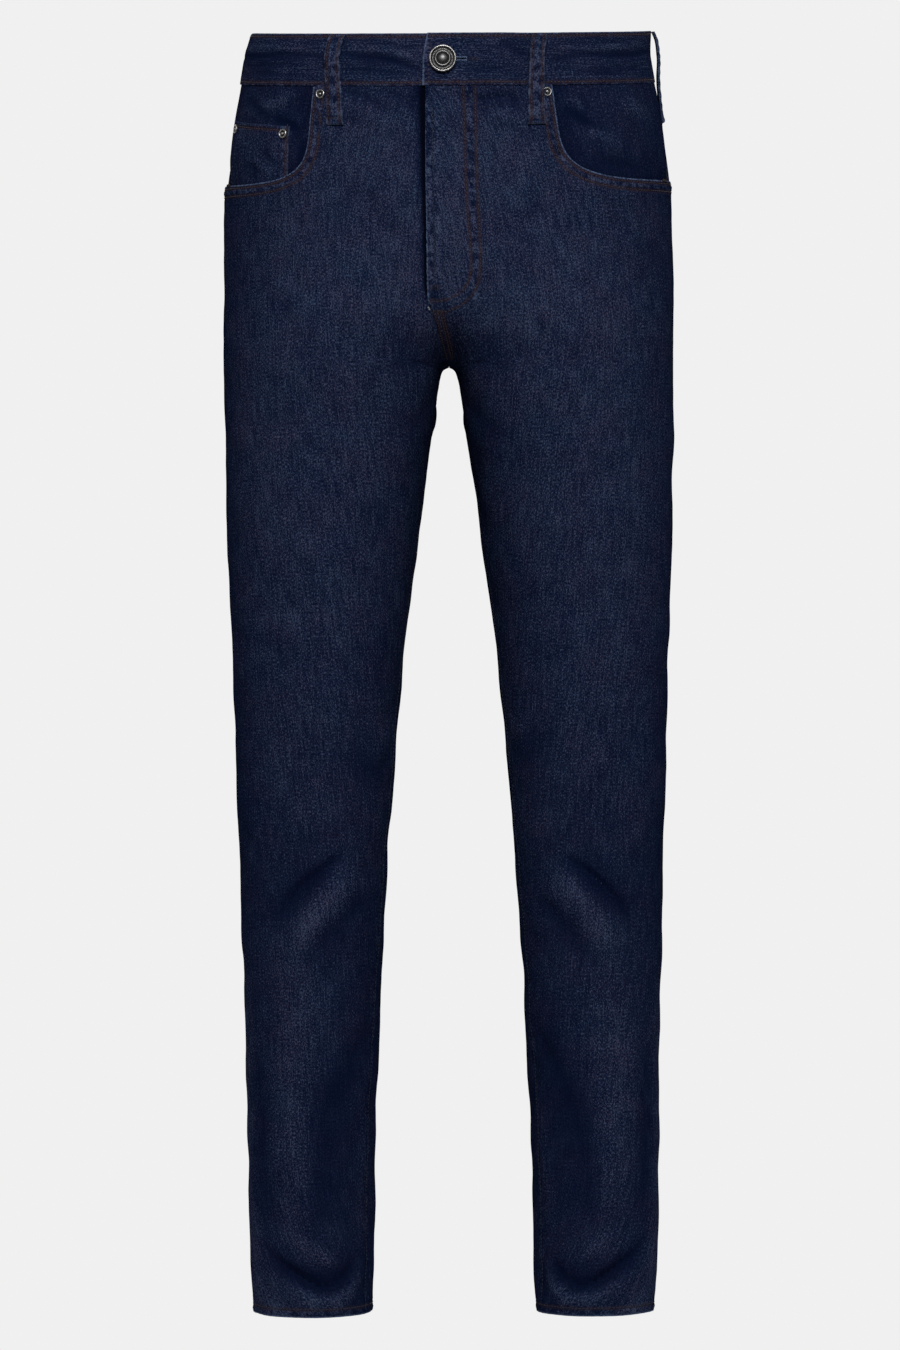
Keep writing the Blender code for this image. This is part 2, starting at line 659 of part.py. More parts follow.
def make_back_pocket(name, side, collection, finish):
    across = np.linspace(-1, 1, 9)[None, :]
    down = np.linspace(0, 1, 7)[:, None]
    half = (POCKET_TOP_WIDTH + (POCKET_BOTTOM_WIDTH - POCKET_TOP_WIDTH) * down) / 2
    drop = down * (POCKET_SIDE_HEIGHT + POCKET_POINT * (1 - np.abs(across)) * down)
    from_side = back_length(side, JOIN) - POCKET_CENTRE - across * half - POCKET_LEAN * drop
    top = yoke_level(1 + from_side[0] / back_length(side, JOIN)) - POCKET_BELOW_YOKE
    level = top[None, :] - drop
    share = 1 + from_side / back_length(side, np.clip(level, WIDENS_BETWEEN[1], None))
    return patch(name, side, share, level, POCKET_SEATED + POCKET_THICKNESS, POCKET_SEATED,
                 collection, finish)


def make_waistband(name, collection, finish):
    """One band from the lap at the front, round by the wearer's left, to the underlap."""
    lap = np.array([-FLY_EDGE, BUTTONHOLE[0], 4, BUTTONHOLE[1], 26, 38, 52, 68], float)
    over = front_share(+1, lap, 0.0)
    left = np.concatenate([over, np.linspace(over[-1], 1, 8)[1:], np.linspace(1, 2, 12)[1:]])
    under = front_share(-1, np.array([44, 22, 0, -12, -BAND_UNDERLAP], float), 0.0)
    right = np.concatenate([np.linspace(2, 1, 12)[1:], np.linspace(1, under[0], 8)[1:-1], under])
    rows = (WAIST_TOP, BUTTON_LEVEL + BUTTONHOLE_HALF_HEIGHT, BUTTON_LEVEL - BUTTONHOLE_HALF_HEIGHT,
            BAND_SEAM + SEAM_GAP / 2)
    sheets = []
    for face in (BAND_OUTER, BAND_INNER):
        halves = []
        for side, shares in ((+1, left), (-1, right)):
            grid_share, grid_level = np.meshgrid(shares, rows)
            across = grid_share * front_length(side, 0.0)
            raised = BAND_LAP_LIFT * (1 - ease(39, 67, across)) if side > 0 else 0 * across
            halves.append(place(side, grid_share, grid_level, face + raised))
        sheets.append(np.concatenate(halves, axis=1))
    keep = np.ones((len(rows) - 1, len(left) + len(right) - 1), bool)
    keep[1, 1:3] = False
    return wall(name, sheets[0], sheets[1], collection, finish, keep)


def make_belt_loop(collection, finish, name, side, share, lean):
    levels = np.array(column(LOOP_PATH, LOOP_COLUMNS, "level"), float)[:, None]
    standoff = np.array(column(LOOP_PATH, LOOP_COLUMNS, "standoff"), float)[:, None]
    length = front_length(side, BAND_SEAM)
    across = np.array([-0.5, 0, 0.5])[None, :] * LOOP_WIDTH
    shares = share + (across + lean * levels) / length
    grid_level = np.repeat(levels, 3, axis=1)
    seat = standoff + (front_lift(side, shares, grid_level) if share < 1 else 0 * shares)
    return patch(name, side, shares, grid_level, seat + LOOP_THICKNESS, seat, collection, finish)


def make_strip(name, levels, spans, outer, inner, collection, finish, across_steps=3):
    """A strip down the centre front: a (from, to) span across for each level."""
    share = np.array([front_share(+1, np.linspace(a, b, across_steps), level)
                      for level, (a, b) in zip(levels, spans)])
    level = np.repeat(np.array(levels, float)[:, None], across_steps, axis=1)
    return patch(name, +1, share, level, outer, inner, collection, finish)


def make_fly(collection, denim, tape, metal):
    """What closes the front behind the fly: the shield, the zip's tape and its slider."""
    levels = (-20.3, -60, -105, -150, -180, -196)
    make_strip("fly_shield", levels, [(-15, 36)] * 4 + [(-15, 30), (-14, 12)], -3.3, -4.3,
               collection, denim, across_steps=4)
    make_strip("zip_tape", levels[:-1] + (-190,), [(-14, 13)] * 6, -2.0, -2.7, collection, tape)
    make_strip("zip_slider", (-27, -38, -38.6, -62), [(-4, 5), (-3, 4), (-1.5, 2.5), (-1.5, 2.5)],
               -0.4, -1.7, collection, metal, across_steps=2)


BUTTON_PROFILE = ((0, 4.3), (2.4, 4.15), (4.2, 3.5), (4.8, 3.2), (5.6, 3.9), (6.4, 3.2), (8.4, 3.0),
                  (9.5, 3.9), (10.6, 3.5), (11.1, 2.4), (10.5, 1.2), (3.2, 0.8), (1.5, 0.4),
                  (1.4, -2.9), (0, -2.9))
RIVET_PROFILE = ((0, 1.6), (1.2, 1.5), (1.7, 0.9), (2.5, 0.8), (3.1, 1.25), (3.7, 0.9), (3.8, 0.3),
                 (3.4, 0.0), (0, 0.0))
RIVET_COLUMNS = ("name", "side", "from_centre", "level")
RIVETS = (("rivet_mouth_right", -1, 102.5, -26.8), ("rivet_mouth_left", +1, 79.0, -25.6),
          ("rivet_coin_inner", -1, 138.0, -60.0), ("rivet_coin_outer", -1, 201.0, -56.5))


def make_hardware(collection, metal):
    share = float(front_share(+1, BUTTON_X, 0.0))
    seat = BAND_OUTER + BAND_LAP_LIFT + 0.3
    turned("shank_button", BUTTON_PROFILE, 28, stand_on(+1, share, BUTTON_LEVEL, seat),
           collection, metal)
    for row in RIVETS:
        rivet = dict(zip(RIVET_COLUMNS, row))
        side = rivet["side"]
        share = float(front_share(side, rivet["from_centre"], rivet["level"]))
        if "coin" in rivet["name"]:
            seat = float(facing_lift(side, share, rivet["level"])) + COIN_GAP + COIN_THICKNESS
        else:
            seat = float(front_lift(side, share, rivet["level"]))
        turned(rivet["name"], RIVET_PROFILE, 16,
               stand_on(side, share, rivet["level"], seat + 0.4), collection, metal)


def clear_scene():
    for old in list(bpy.data.objects):
        bpy.data.objects.remove(old, do_unlink=True)


def build():
    clear_scene()
    jeans = bpy.data.collections.new("slim_fit_jeans")
    bpy.context.scene.collection.children.link(jeans)
    denim = material("denim", (0.012, 0.021, 0.062), 0.85)
    tape = material("zip_tape", (0.01, 0.014, 0.035), 0.8)
    metal = material("pewter", (0.32, 0.31, 0.30), 0.4, 1.0)
    for word, side in (("left", +1), ("right", -1)):
        make_front("front_" + word, side, jeans, denim)
        make_back("back_" + word, side, jeans, denim)
        make_yoke("yoke_" + word, side, jeans, denim)
        make_facing("pocket_facing_" + word, side, jeans, denim)
        make_back_pocket("back_pocket_" + word, side, jeans, denim)
    make_coin_pocket("coin_pocket", -1, jeans, denim)
    make_waistband("waistband", jeans, denim)
    for row in LOOPS:
        make_belt_loop(jeans, denim, **dict(zip(LOOPS_COLUMNS, row)))
    make_fly(jeans, denim, tape, metal)
    make_hardware(jeans, metal)


if __name__ == "__main__":
    build()
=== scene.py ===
"""Slim fit jeans, filled out as they are worn: cloth, stitches, metal, light and camera.

Metres, +Z up. The front faces -Y and the wearer's left is +X. Sizes in the tables are
millimetres.

A place on the skin is given by three numbers:
  side   +1 for the wearer's left half, -1 for the right half
  share  0 at the centre front (or the inseam, below the fork), 1 at the outseam, 2 at the
         centre back (or the inseam again), even along the cloth between them
  level  height at the side, in millimetres; the waist dips a little to the front of it
"""
import math

import bpy
import numpy as np
from mathutils import Matrix, Vector


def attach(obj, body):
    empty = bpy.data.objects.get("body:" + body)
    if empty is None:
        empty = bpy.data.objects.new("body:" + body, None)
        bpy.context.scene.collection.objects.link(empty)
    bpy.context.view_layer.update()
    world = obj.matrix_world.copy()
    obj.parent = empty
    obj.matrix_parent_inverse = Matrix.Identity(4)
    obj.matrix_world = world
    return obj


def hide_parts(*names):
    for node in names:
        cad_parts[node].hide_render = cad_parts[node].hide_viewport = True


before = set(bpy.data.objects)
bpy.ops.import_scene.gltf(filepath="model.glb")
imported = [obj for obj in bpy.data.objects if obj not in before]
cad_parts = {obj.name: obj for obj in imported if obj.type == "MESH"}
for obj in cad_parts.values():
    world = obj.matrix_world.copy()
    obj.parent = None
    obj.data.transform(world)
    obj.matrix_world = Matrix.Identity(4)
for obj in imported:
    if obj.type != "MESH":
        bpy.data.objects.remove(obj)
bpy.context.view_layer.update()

MM = 0.001
# Cloth
CLOTH = 1.2                  # one layer of denim
SEAM_GAP = 0.3               # between two pieces at a seam
TUCKED = 0.5                 # reaches up inside the waistband
HEM_DEPTH = 10.0             # the turned hem
HEM_THICKNESS = 2.6          # denim turned twice

# Levels
WAIST_TOP = 22.5
BAND_SEAM = -20.0
YOKE_AT_SIDE = -56.5
YOKE_AT_CENTRE = -90.0
JOIN = -150.0                # the first level row that runs straight across a panel
FORK = -254.0                # where the four legs' seams meet
HEM = -1030.0

# Fork: the fold radius rounds the skin across the plane between the legs
FOLD_RADIUS = 14.0

# Level sections of one half: the height, then these
SECTION_COLUMNS = ("outer", "side_y", "fork_y", "front", "front_x", "back", "back_x",
                   "round_front", "round_back", "round_inner", "outseam_turn")
SECTIONS = (
    (60, 162.5, 0, 0, -103, 14.6, 103, 14.6, 2.20, 2.20, 2.2, 3.5),
    (22.5, 164.0, 0, 0, -104, 14.6, 105, 14.6, 2.20, 2.20, 2.2, 3.5),
    (-20, 170.0, 0, -4, -106, 14.6, 109, 20, 2.20, 2.20, 2.2, 3.5),
    (-60, 177.6, 2, -8, -109, 14.8, 118, 34, 2.18, 2.18, 2.2, 4),
    (-100, 182.6, 4, -12, -111, 16, 127, 48, 2.15, 2.15, 2.25, 4),
    (-145, 184.4, 5, -12, -111.5, 24, 133, 60, 2.12, 2.10, 2.35, 4),
    (-180, 185.2, 6, -12, -110, 40, 134, 70, 2.10, 2.08, 2.5, 4.5),
    (-215, 185.5, 6, -12, -106.5, 62, 130, 80, 2.08, 2.06, 2.8, 5),
    (-254, 185.2, 6, -12, -100.5, 82, 120, 88, 2.06, 2.05, 3.0, 5),
    (-290, 184.9, 5, -8, -95, 92, 109, 94, 2.06, 2.05, 2.75, 5),
    (-330, 184.3, 4, -3, -89.5, 98, 100, 98, 2.06, 2.05, 2.45, 5),
    (-395, 183.1, 3, 1, -82.5, 103.5, 90, 103, 2.06, 2.05, 2.15, 5),
    (-461, 180.6, 3, 3, -76, 107, 83, 107, 2.06, 2.05, 2.06, 5),
    (-593, 176.5, 2, 2, -63, 112, 67, 112, 2.06, 2.05, 2.05, 4),
    (-725, 172.8, 6, 6, -52, 115, 65, 114, 2.06, 2.05, 2.05, 4),
    (-856, 169.9, 9, 9, -46, 116, 66, 116, 2.06, 2.05, 2.05, 2),
    (-960, 168.6, 10, 10, -45, 117, 66, 117, 2.06, 2.05, 2.05, -9),
    (-998, 167.3, 10, 10, -45.4, 116.6, 66, 116.6, 2.06, 2.05, 2.05, -29),
    (-1035, 165.6, 10, 10, -46, 116, 66, 116, 2.06, 2.05, 2.05, -53),
)

# By the distance below the fork: half the gap between the legs, and the inseam's turn
# towards the front
LEG_COLUMNS = ("inner", "inseam_turn")
LEGS = (
    (0, 0.15, 0), (1, 3.6, 0), (6, 6.3, 1), (20, 8.4, 2), (45, 12.0, 3), (76, 16.9, 4),
    (142, 25.9, 6), (207, 34.6, 8), (339, 47.3, 12), (471, 56.4, 18), (602, 62.5, 23),
    (734, 65.9, 22), (781, 66.7, 20),
)

# By the distance above the fork: how far out the rise seams lie, as shares of the skin's
# greatest depth
RISE_COLUMNS = ("front_share", "back_share")
RISES = (
    (0, 0, 0), (3, 0.27, 0.20), (10, 0.50, 0.38), (22, 0.72, 0.57), (40, 0.88, 0.75),
    (65, 0.955, 0.88), (100, 0.99, 0.955), (150, 0.998, 0.985), (220, 0.998, 0.996),
    (330, 0.998, 0.998),
)

# The waist dips towards the front, by these slopes over the distance from the side
TILT_SLOPE = 0.1075
TILT_BEND = 0.0225
TILT_EASE = 25.0
TILT_ENDS = -200.0

# The waist sits turned a little to the wearer's right
TWIST_AT_WAIST = 6.5         # degrees of the outseams' places

# Largest folds: (level, share, run in degrees from across, half length, half width, height,
# bend): the bend curves the fold's ends down where it is positive
LARGEST_FOLDS = (
    (-681, 0.49, -48, 32, 12, -3.6, 0.0),
    (-702, 0.39, -50, 34, 13, 2.8, 0.0),
    (-1001, 0.45, 2, 34, 10, -3.4, -0.012),
    (-1016, 0.41, -5, 28, 8, 2.4, -0.018),
    (-600, 1.48, 12, 50, 13, -3.6, 0.003),
    (-628, 1.52, -8, 46, 13, 2.6, 0.0),
)

# Fly
FLY_EDGE = 17.3              # the left front reaches this far past the centre
FLY_UNDERLAP = 12.0
FLY_UNDERLAP_WHOLE = -165.0
FLY_BOTTOM = -205.0
FLY_LIFT = 1.6
FLY_SETTLES = (-236.0, -214.0)
# The rise seam's levels and how far past the centre it lies there
RISE_SEAM = ((-205, 17.3), (-214, 14.2), (-228, 10.2), (-240, 7.0), (-248, 4.4), (-252, 2.0),
             (-254, 0.0))

# Front pocket mouths: where the scoop leaves the band seam, its depth at the outseam and how
# square it is
MOUTH_FROM_CENTRE = {+1: 83.5, -1: 109.0}
MOUTH_DEPTH = {+1: 81.0, -1: 84.0}
MOUTH_POWER = {+1: 5.2, -1: 6.0}
MOUTH_LIFT = 1.0
MOUTH_EASE = 22.0
MOUTH_COLUMNS = (0.995, 0.97, 0.93, 0.86, 0.72, 0.55, 0.37, 0.18, 0)
FACING_UNDER = 16.0
FACING_OUTER = {+1: -2.3, -1: -3.4}
FACING_SINKS = 1.0           # deeper again behind the front
FACING_EASE = 10.0
FACING_SHORT = 0.4           # of the outseam
FACING_RISE = {+1: 2.2, -1: 2.8}    # it swells out again inside the mouth
FACING_RISES_WITHIN = 26.0
FACING_AT_SEAM = -0.7        # and comes up to the waistband
FACING_AT_SEAM_FROM = -52.0
COIN_SHARES = (0.52, 0.83)
COIN_TOP = (-53.5, -49.5)    # at its inner and its outer edge
COIN_BOTTOM = -110.0
FACING_BOTTOM = -124.0
COIN_THICKNESS = 1.0
COIN_GAP = 0.5

# Waistband
BAND_OUTER = 0.7
BAND_INNER = -1.9
BAND_LAP_LIFT = 2.9
INSIDE_BAND = 0.4            # the left front comes up to the raised lap's inside
BAND_UNDERLAP = 32.0
BUTTON_X = -4.0
BUTTON_LEVEL = 1.2
BUTTONHOLE = (-7.0, 15.0)    # from and to, across
BUTTONHOLE_HALF = 0.55

# Belt loops
LOOP_WIDTH = 13.0
LOOP_THICKNESS = 1.7
# A loop's levels and how far it stands off there
LOOP_PATH = ((21.8, 1.3), (15.5, 4.4), (8, 6.2), (0, 6.6), (-9, 5.2), (-18, 3.4), (-30, 1.9),
             (-42, 0.9), (-53, 0.5))

LOOPS = tuple({"name": "belt_loop_" + name, "side": side, "share": share, "lean": lean}
              for name, side, share, lean in (
                  ("front_left", +1, 0.324, 0.06), ("front_right", -1, 0.373, 0.075),
                  ("side_left", +1, 1.05, 0.0), ("side_right", -1, 1.12, 0.0), ("back", +1, 2.0, 0.0)))

# Back pockets
POCKET_CENTRE = 110.0        # from the centre back, along the cloth
POCKET_TOP_WIDTH = 146.0
POCKET_BOTTOM_WIDTH = 132.0
POCKET_SIDE_HEIGHT = 128.0
POCKET_POINT = 24.0
POCKET_TALL = POCKET_SIDE_HEIGHT + 10
POCKET_BELOW_YOKE = 17.0
POCKET_THICKNESS = 1.0
POCKET_SEATED = 1.4          # clears the facets of the back, which are longer than its own
POCKET_LEAN = 0.07

# Rows of the panels from the join down: their levels at the outseam and at the rise or inseam
ROWS = (
    (JOIN, JOIN), (-163, -170), (-176, -192), (-189, -214), (-201, -232), (-212, -244),
    (-221, -251), (-229, FORK), (-243, -259), (-258, -268), (-277, -284), (-303, -307),
    (-340, -341), (-400, -400), (-465, -465), (-525, -525), (-575, -575), (-606, -606),
    (-636, -636), (-662, -662), (-686, -686), (-712, -712), (-750, -750), (-825, -825),
    (-900, -900), (-955, -955), (-985, -985), (-1002, -1002), (-1014, -1014), (HEM, HEM),
)
# Columns of the panels, from the outseam; the outer ones keep their distances from it where the
# cloth widens at the fork
FRONT_COLUMNS = (1, 0.94, 0.86, 0.77, 0.68, 0.59, 0.50, 0.41, 0.33, 0.25, 0.18, 0.12, 0.06, 0)
OUTER_COLUMNS = 0.6
FINE_STEP = 3.6              # between the rows of a panel
WIDENS_BETWEEN = (-178.0, -264.0)
ARC_STEPS = 72


# ---------------------------------------------------------------------------------------------
# The skin

class Track:
    """A natural cubic spline through a table's column."""

    def __init__(self, places, values):
        order = np.argsort(places)
        self.x = np.array(places, float)[order]
        self.y = np.array(values, float)[order]
        span = np.diff(self.x)
        slope = np.diff(self.y) / span
        count = len(self.x)
        matrix = np.eye(count)
        bend = np.zeros(count)
        for k in range(1, count - 1):
            matrix[k, k - 1:k + 2] = span[k - 1], 2 * (span[k - 1] + span[k]), span[k]
            bend[k] = 6 * (slope[k] - slope[k - 1])
        self.curve = np.linalg.solve(matrix, bend)
        self.span = span

    def __call__(self, place):
        place = np.clip(place, self.x[0], self.x[-1])
        k = np.clip(np.searchsorted(self.x, place) - 1, 0, len(self.span) - 1)
        h = self.span[k]
        left = self.x[k + 1] - place
        right = place - self.x[k]
        cubic = self.curve[k] * left ** 3 + self.curve[k + 1] * right ** 3
        ends = (self.y[k] / h - self.curve[k] * h / 6) * left
        return cubic / (6 * h) + ends + (self.y[k + 1] / h - self.curve[k + 1] * h / 6) * right


def tracks(names, table, bend=np.asarray):
    """Smooth curves through a table's other columns, against its first one."""
    places, *columns = zip(*table)
    return {name: Track(bend(places), values) for name, values in zip(names, columns, strict=True)}


SECTION = tracks(SECTION_COLUMNS, SECTIONS)
BELOW = tracks(LEG_COLUMNS, LEGS, np.sqrt)
ABOVE = tracks(RISE_COLUMNS, RISES, np.sqrt)


def ease(start, end, value):
    """0 before start, 1 after end, smooth between."""
    t = np.clip((value - start) / (end - start), 0, 1)
    return t * t * (3 - 2 * t)


def swell(value, middle, reach):
    """1 at the middle, falling smoothly to nothing a few reaches away."""
    return np.exp(-((value - middle) / reach) ** 2)


def arch(along):
    """0 at both ends of a line and 1 in its middle."""
    return np.clip(4 * along * (1 - along), 0, 1)


def ripple(run, pitch, shift=0.0):
    return np.sin(2 * math.pi * run / pitch + shift)


def section(z):
    """The sizes of the level section at height z, and the turns where its half begins and ends."""
    p = {name: track(z) for name, track in SECTION.items()}
    p["outer"] = np.sqrt(p["outer"] ** 2 + FOLD_RADIUS ** 2)
    above = np.sqrt(np.maximum(z - FORK, 0))
    below = np.sqrt(np.maximum(FORK - z, 0))
    joined = z > FORK
    n = p["round_inner"]
    for face in ("front", "back"):
        centre = p[face + "_x"]
        share = np.clip(ABOVE[face + "_share"](above), 0, 0.998)
        left_over = 1 - share ** n
        wall = np.sqrt(BELOW["inner"](below) ** 2 + FOLD_RADIUS ** 2)
        reach = (centre - FOLD_RADIUS) / left_over ** (1 / n)
        p[face + "_inner"] = np.where(joined, reach, centre - wall)
        p[face + "_clip"] = np.arccos(np.sqrt(left_over))
    inseam = np.radians(BELOW["inseam_turn"](below))
    p["begin"] = np.where(joined, p["front_clip"], inseam)
    p["end"] = 2 * math.pi + np.where(joined, -p["back_clip"], inseam)
    return p


def quarter(p, turn):
    """Centre, half sizes and power of the quarter of the section that a turn lies in."""
    fore = np.sin(turn) >= 0
    inside = np.cos(turn) >= 0
    centre_x = np.where(fore, p["front_x"], p["back_x"])
    centre_y = np.where(inside, p["fork_y"], p["side_y"])
    inner = np.where(fore, p["front_inner"], p["back_inner"])
    half_x = np.where(inside, inner, p["outer"] - centre_x)
    half_y = np.where(fore, centre_y - p["front"], p["back"] - centre_y)
    power = np.where(inside, p["round_inner"], np.where(fore, p["round_front"], p["round_back"]))
    return centre_x, centre_y, half_x, half_y, power


def ring(p, turn):
    """Points of a section: turn 0 is innermost, then front, outermost and back."""
    centre_x, centre_y, half_x, half_y, power = quarter(p, turn)
    cosine = np.cos(turn)
    sine = np.sin(turn)
    folded = centre_x - np.sign(cosine) * half_x * np.abs(cosine) ** (2 / power)
    x = np.sqrt(np.maximum(folded ** 2 - FOLD_RADIUS ** 2, 0))
    y = centre_y - np.sign(sine) * half_y * np.abs(sine) ** (2 / power)
    return x, y


def fullness(z, turn, x, y):
    """Below 1 inside the skin and above 1 outside it."""
    centre_x, centre_y, half_x, half_y, power = quarter(section(z), turn)
    folded = np.sqrt(x ** 2 + FOLD_RADIUS ** 2)
    across = np.abs(folded - centre_x) / half_x
    return across ** power + (np.abs(y - centre_y) / half_y) ** power


def outseam_turn(p, side, z):
    twist = side * TWIST_AT_WAIST * ease(FORK, WAIST_TOP, z)
    return math.pi + np.radians(p["outseam_turn"] - twist)


def column_of(p):
    return {name: value[:, None] for name, value in p.items()}


def half_turns(p, side, z, back, step):
    """Turns a share of the way along the front or back half of each section. The steps are
    finer towards the plane between the legs, where the skin folds."""
    seam = outseam_turn(p, side, z)
    if back:
        return seam + (p["end"] - seam) * np.sin(step * math.pi / 2)
    return p["begin"] + (seam - p["begin"]) * (1 - np.cos(step * math.pi / 2))


def arc_lengths(side, z, back):
    """The cloth's length up to each step along the front or back half of each section."""
    p = column_of(section(z))
    step = np.arange(ARC_STEPS + 1)[None, :] / ARC_STEPS
    x, y = ring(p, half_turns(p, side, z[:, None], back, step))
    runs = np.hypot(np.diff(x, axis=1), np.diff(y, axis=1))
    return np.concatenate([np.zeros((len(z), 1)), np.cumsum(runs, axis=1)], axis=1)


def skin(side, share, z):
    """Points of the skin and its outward unit normals, for arrays of places."""
    share, z = np.broadcast_arrays(np.asarray(share, float), np.asarray(z, float))
    shape = share.shape
    share = share.ravel()
    z = z.ravel()
    far = (share < 0) | (share > 2)
    share = np.where(share < 0, -share, np.where(share > 2, 4 - share, share))
    half = np.where(far, -side, side)
    turn = np.zeros(len(z))
    for one_side in (+1, -1):
        for back in (False, True):
            pick = (half == one_side) & ((share > 1) == back)
            if not pick.any():
                continue
            length = arc_lengths(one_side, z[pick], back)
            target = (share[pick] - back) * length[:, -1]
            k = np.clip((length < target[:, None]).sum(axis=1) - 1, 0, ARC_STEPS - 1)
            row = np.arange(len(target))
            t = (target - length[row, k]) / (length[row, k + 1] - length[row, k])
            step = (k + np.clip(t, 0, 1)) / ARC_STEPS
            turn[pick] = half_turns(section(z[pick]), one_side, z[pick], back, step)
    x, y = ring(section(z), turn)
    nudge = 0.05
    slope_x = fullness(z, turn, x + nudge, y) - fullness(z, turn, np.maximum(x - nudge, 0), y)
    slope_x = np.where(x < nudge, 0, slope_x)
    slope_y = fullness(z, turn, x, y + nudge) - fullness(z, turn, x, y - nudge)
    slope_z = fullness(z + nudge, turn, x, y) - fullness(z - nudge, turn, x, y)
    normal = np.stack([half * slope_x, slope_y, slope_z], axis=-1)
    normal /= np.linalg.norm(normal, axis=-1, keepdims=True)
    point = np.stack([half * x, y, z], axis=-1)
    return point.reshape(shape + (3,)), normal.reshape(shape + (3,))


MEASURE_LEVELS = np.arange(-1040.0, 60.0, 5.0)
HALF_LENGTHS = {(side, back): arc_lengths(side, MEASURE_LEVELS, back)[:, -1]
                for side in (+1, -1) for back in (False, True)}
WAIST_SHARES = np.linspace(-0.3, 2.3, 105)
WAIST_Y = {side: skin(side, WAIST_SHARES, np.zeros(105))[0][:, 1] for side in (+1, -1)}


def front_length(side, level):
    return np.interp(level, MEASURE_LEVELS, HALF_LENGTHS[side, False])


def back_length(side, level):
    return np.interp(level, MEASURE_LEVELS, HALF_LENGTHS[side, True])


BAND_FRONT = float(front_length(+1, 0.0))    # the band's length from the centre to the side


def front_share(side, across, level):
    """The share at a distance across from the centre front; negative past the centre."""
    across = np.asarray(across, float)
    own = across / front_length(side, level)
    return np.where(across < 0, across / front_length(-side, level), own)


def back_share(side, across, level):
    """The share at a distance across from the centre back; negative past the centre."""
    across = np.asarray(across, float)
    own = across / back_length(side, level)
    return 2 - np.where(across < 0, across / back_length(-side, level), own)


def height(side, share, level):
    """The true height of a level, which dips to the front at the waist."""
    y = np.interp(share, WAIST_SHARES, WAIST_Y[side])
    dip = TILT_SLOPE * y - TILT_BEND * (np.sqrt(y ** 2 + TILT_EASE ** 2) - TILT_EASE)
    return level + dip * ease(TILT_ENDS, BAND_SEAM, level)


def folds(side, share, level):
    """How far the largest folds move the cloth out or in."""
    total = np.zeros(np.broadcast(share, level).shape)
    for fold_level, fold_share, run, half_length, half_width, rise, bend in LARGEST_FOLDS:
        length = front_length if fold_share < 1 else back_length
        across = (share - fold_share) * length(side, fold_level)
        up = level - fold_level
        run = math.radians(run)
        along = across * math.cos(run) + up * math.sin(run)
        aside = up * math.cos(run) - across * math.sin(run) + bend * along ** 2
        total = total + rise * np.exp(-(aside / half_width) ** 2 - (along / half_length) ** 4)
    return total


# ---------------------------------------------------------------------------------------------
# Creases, seams and wear on the skin

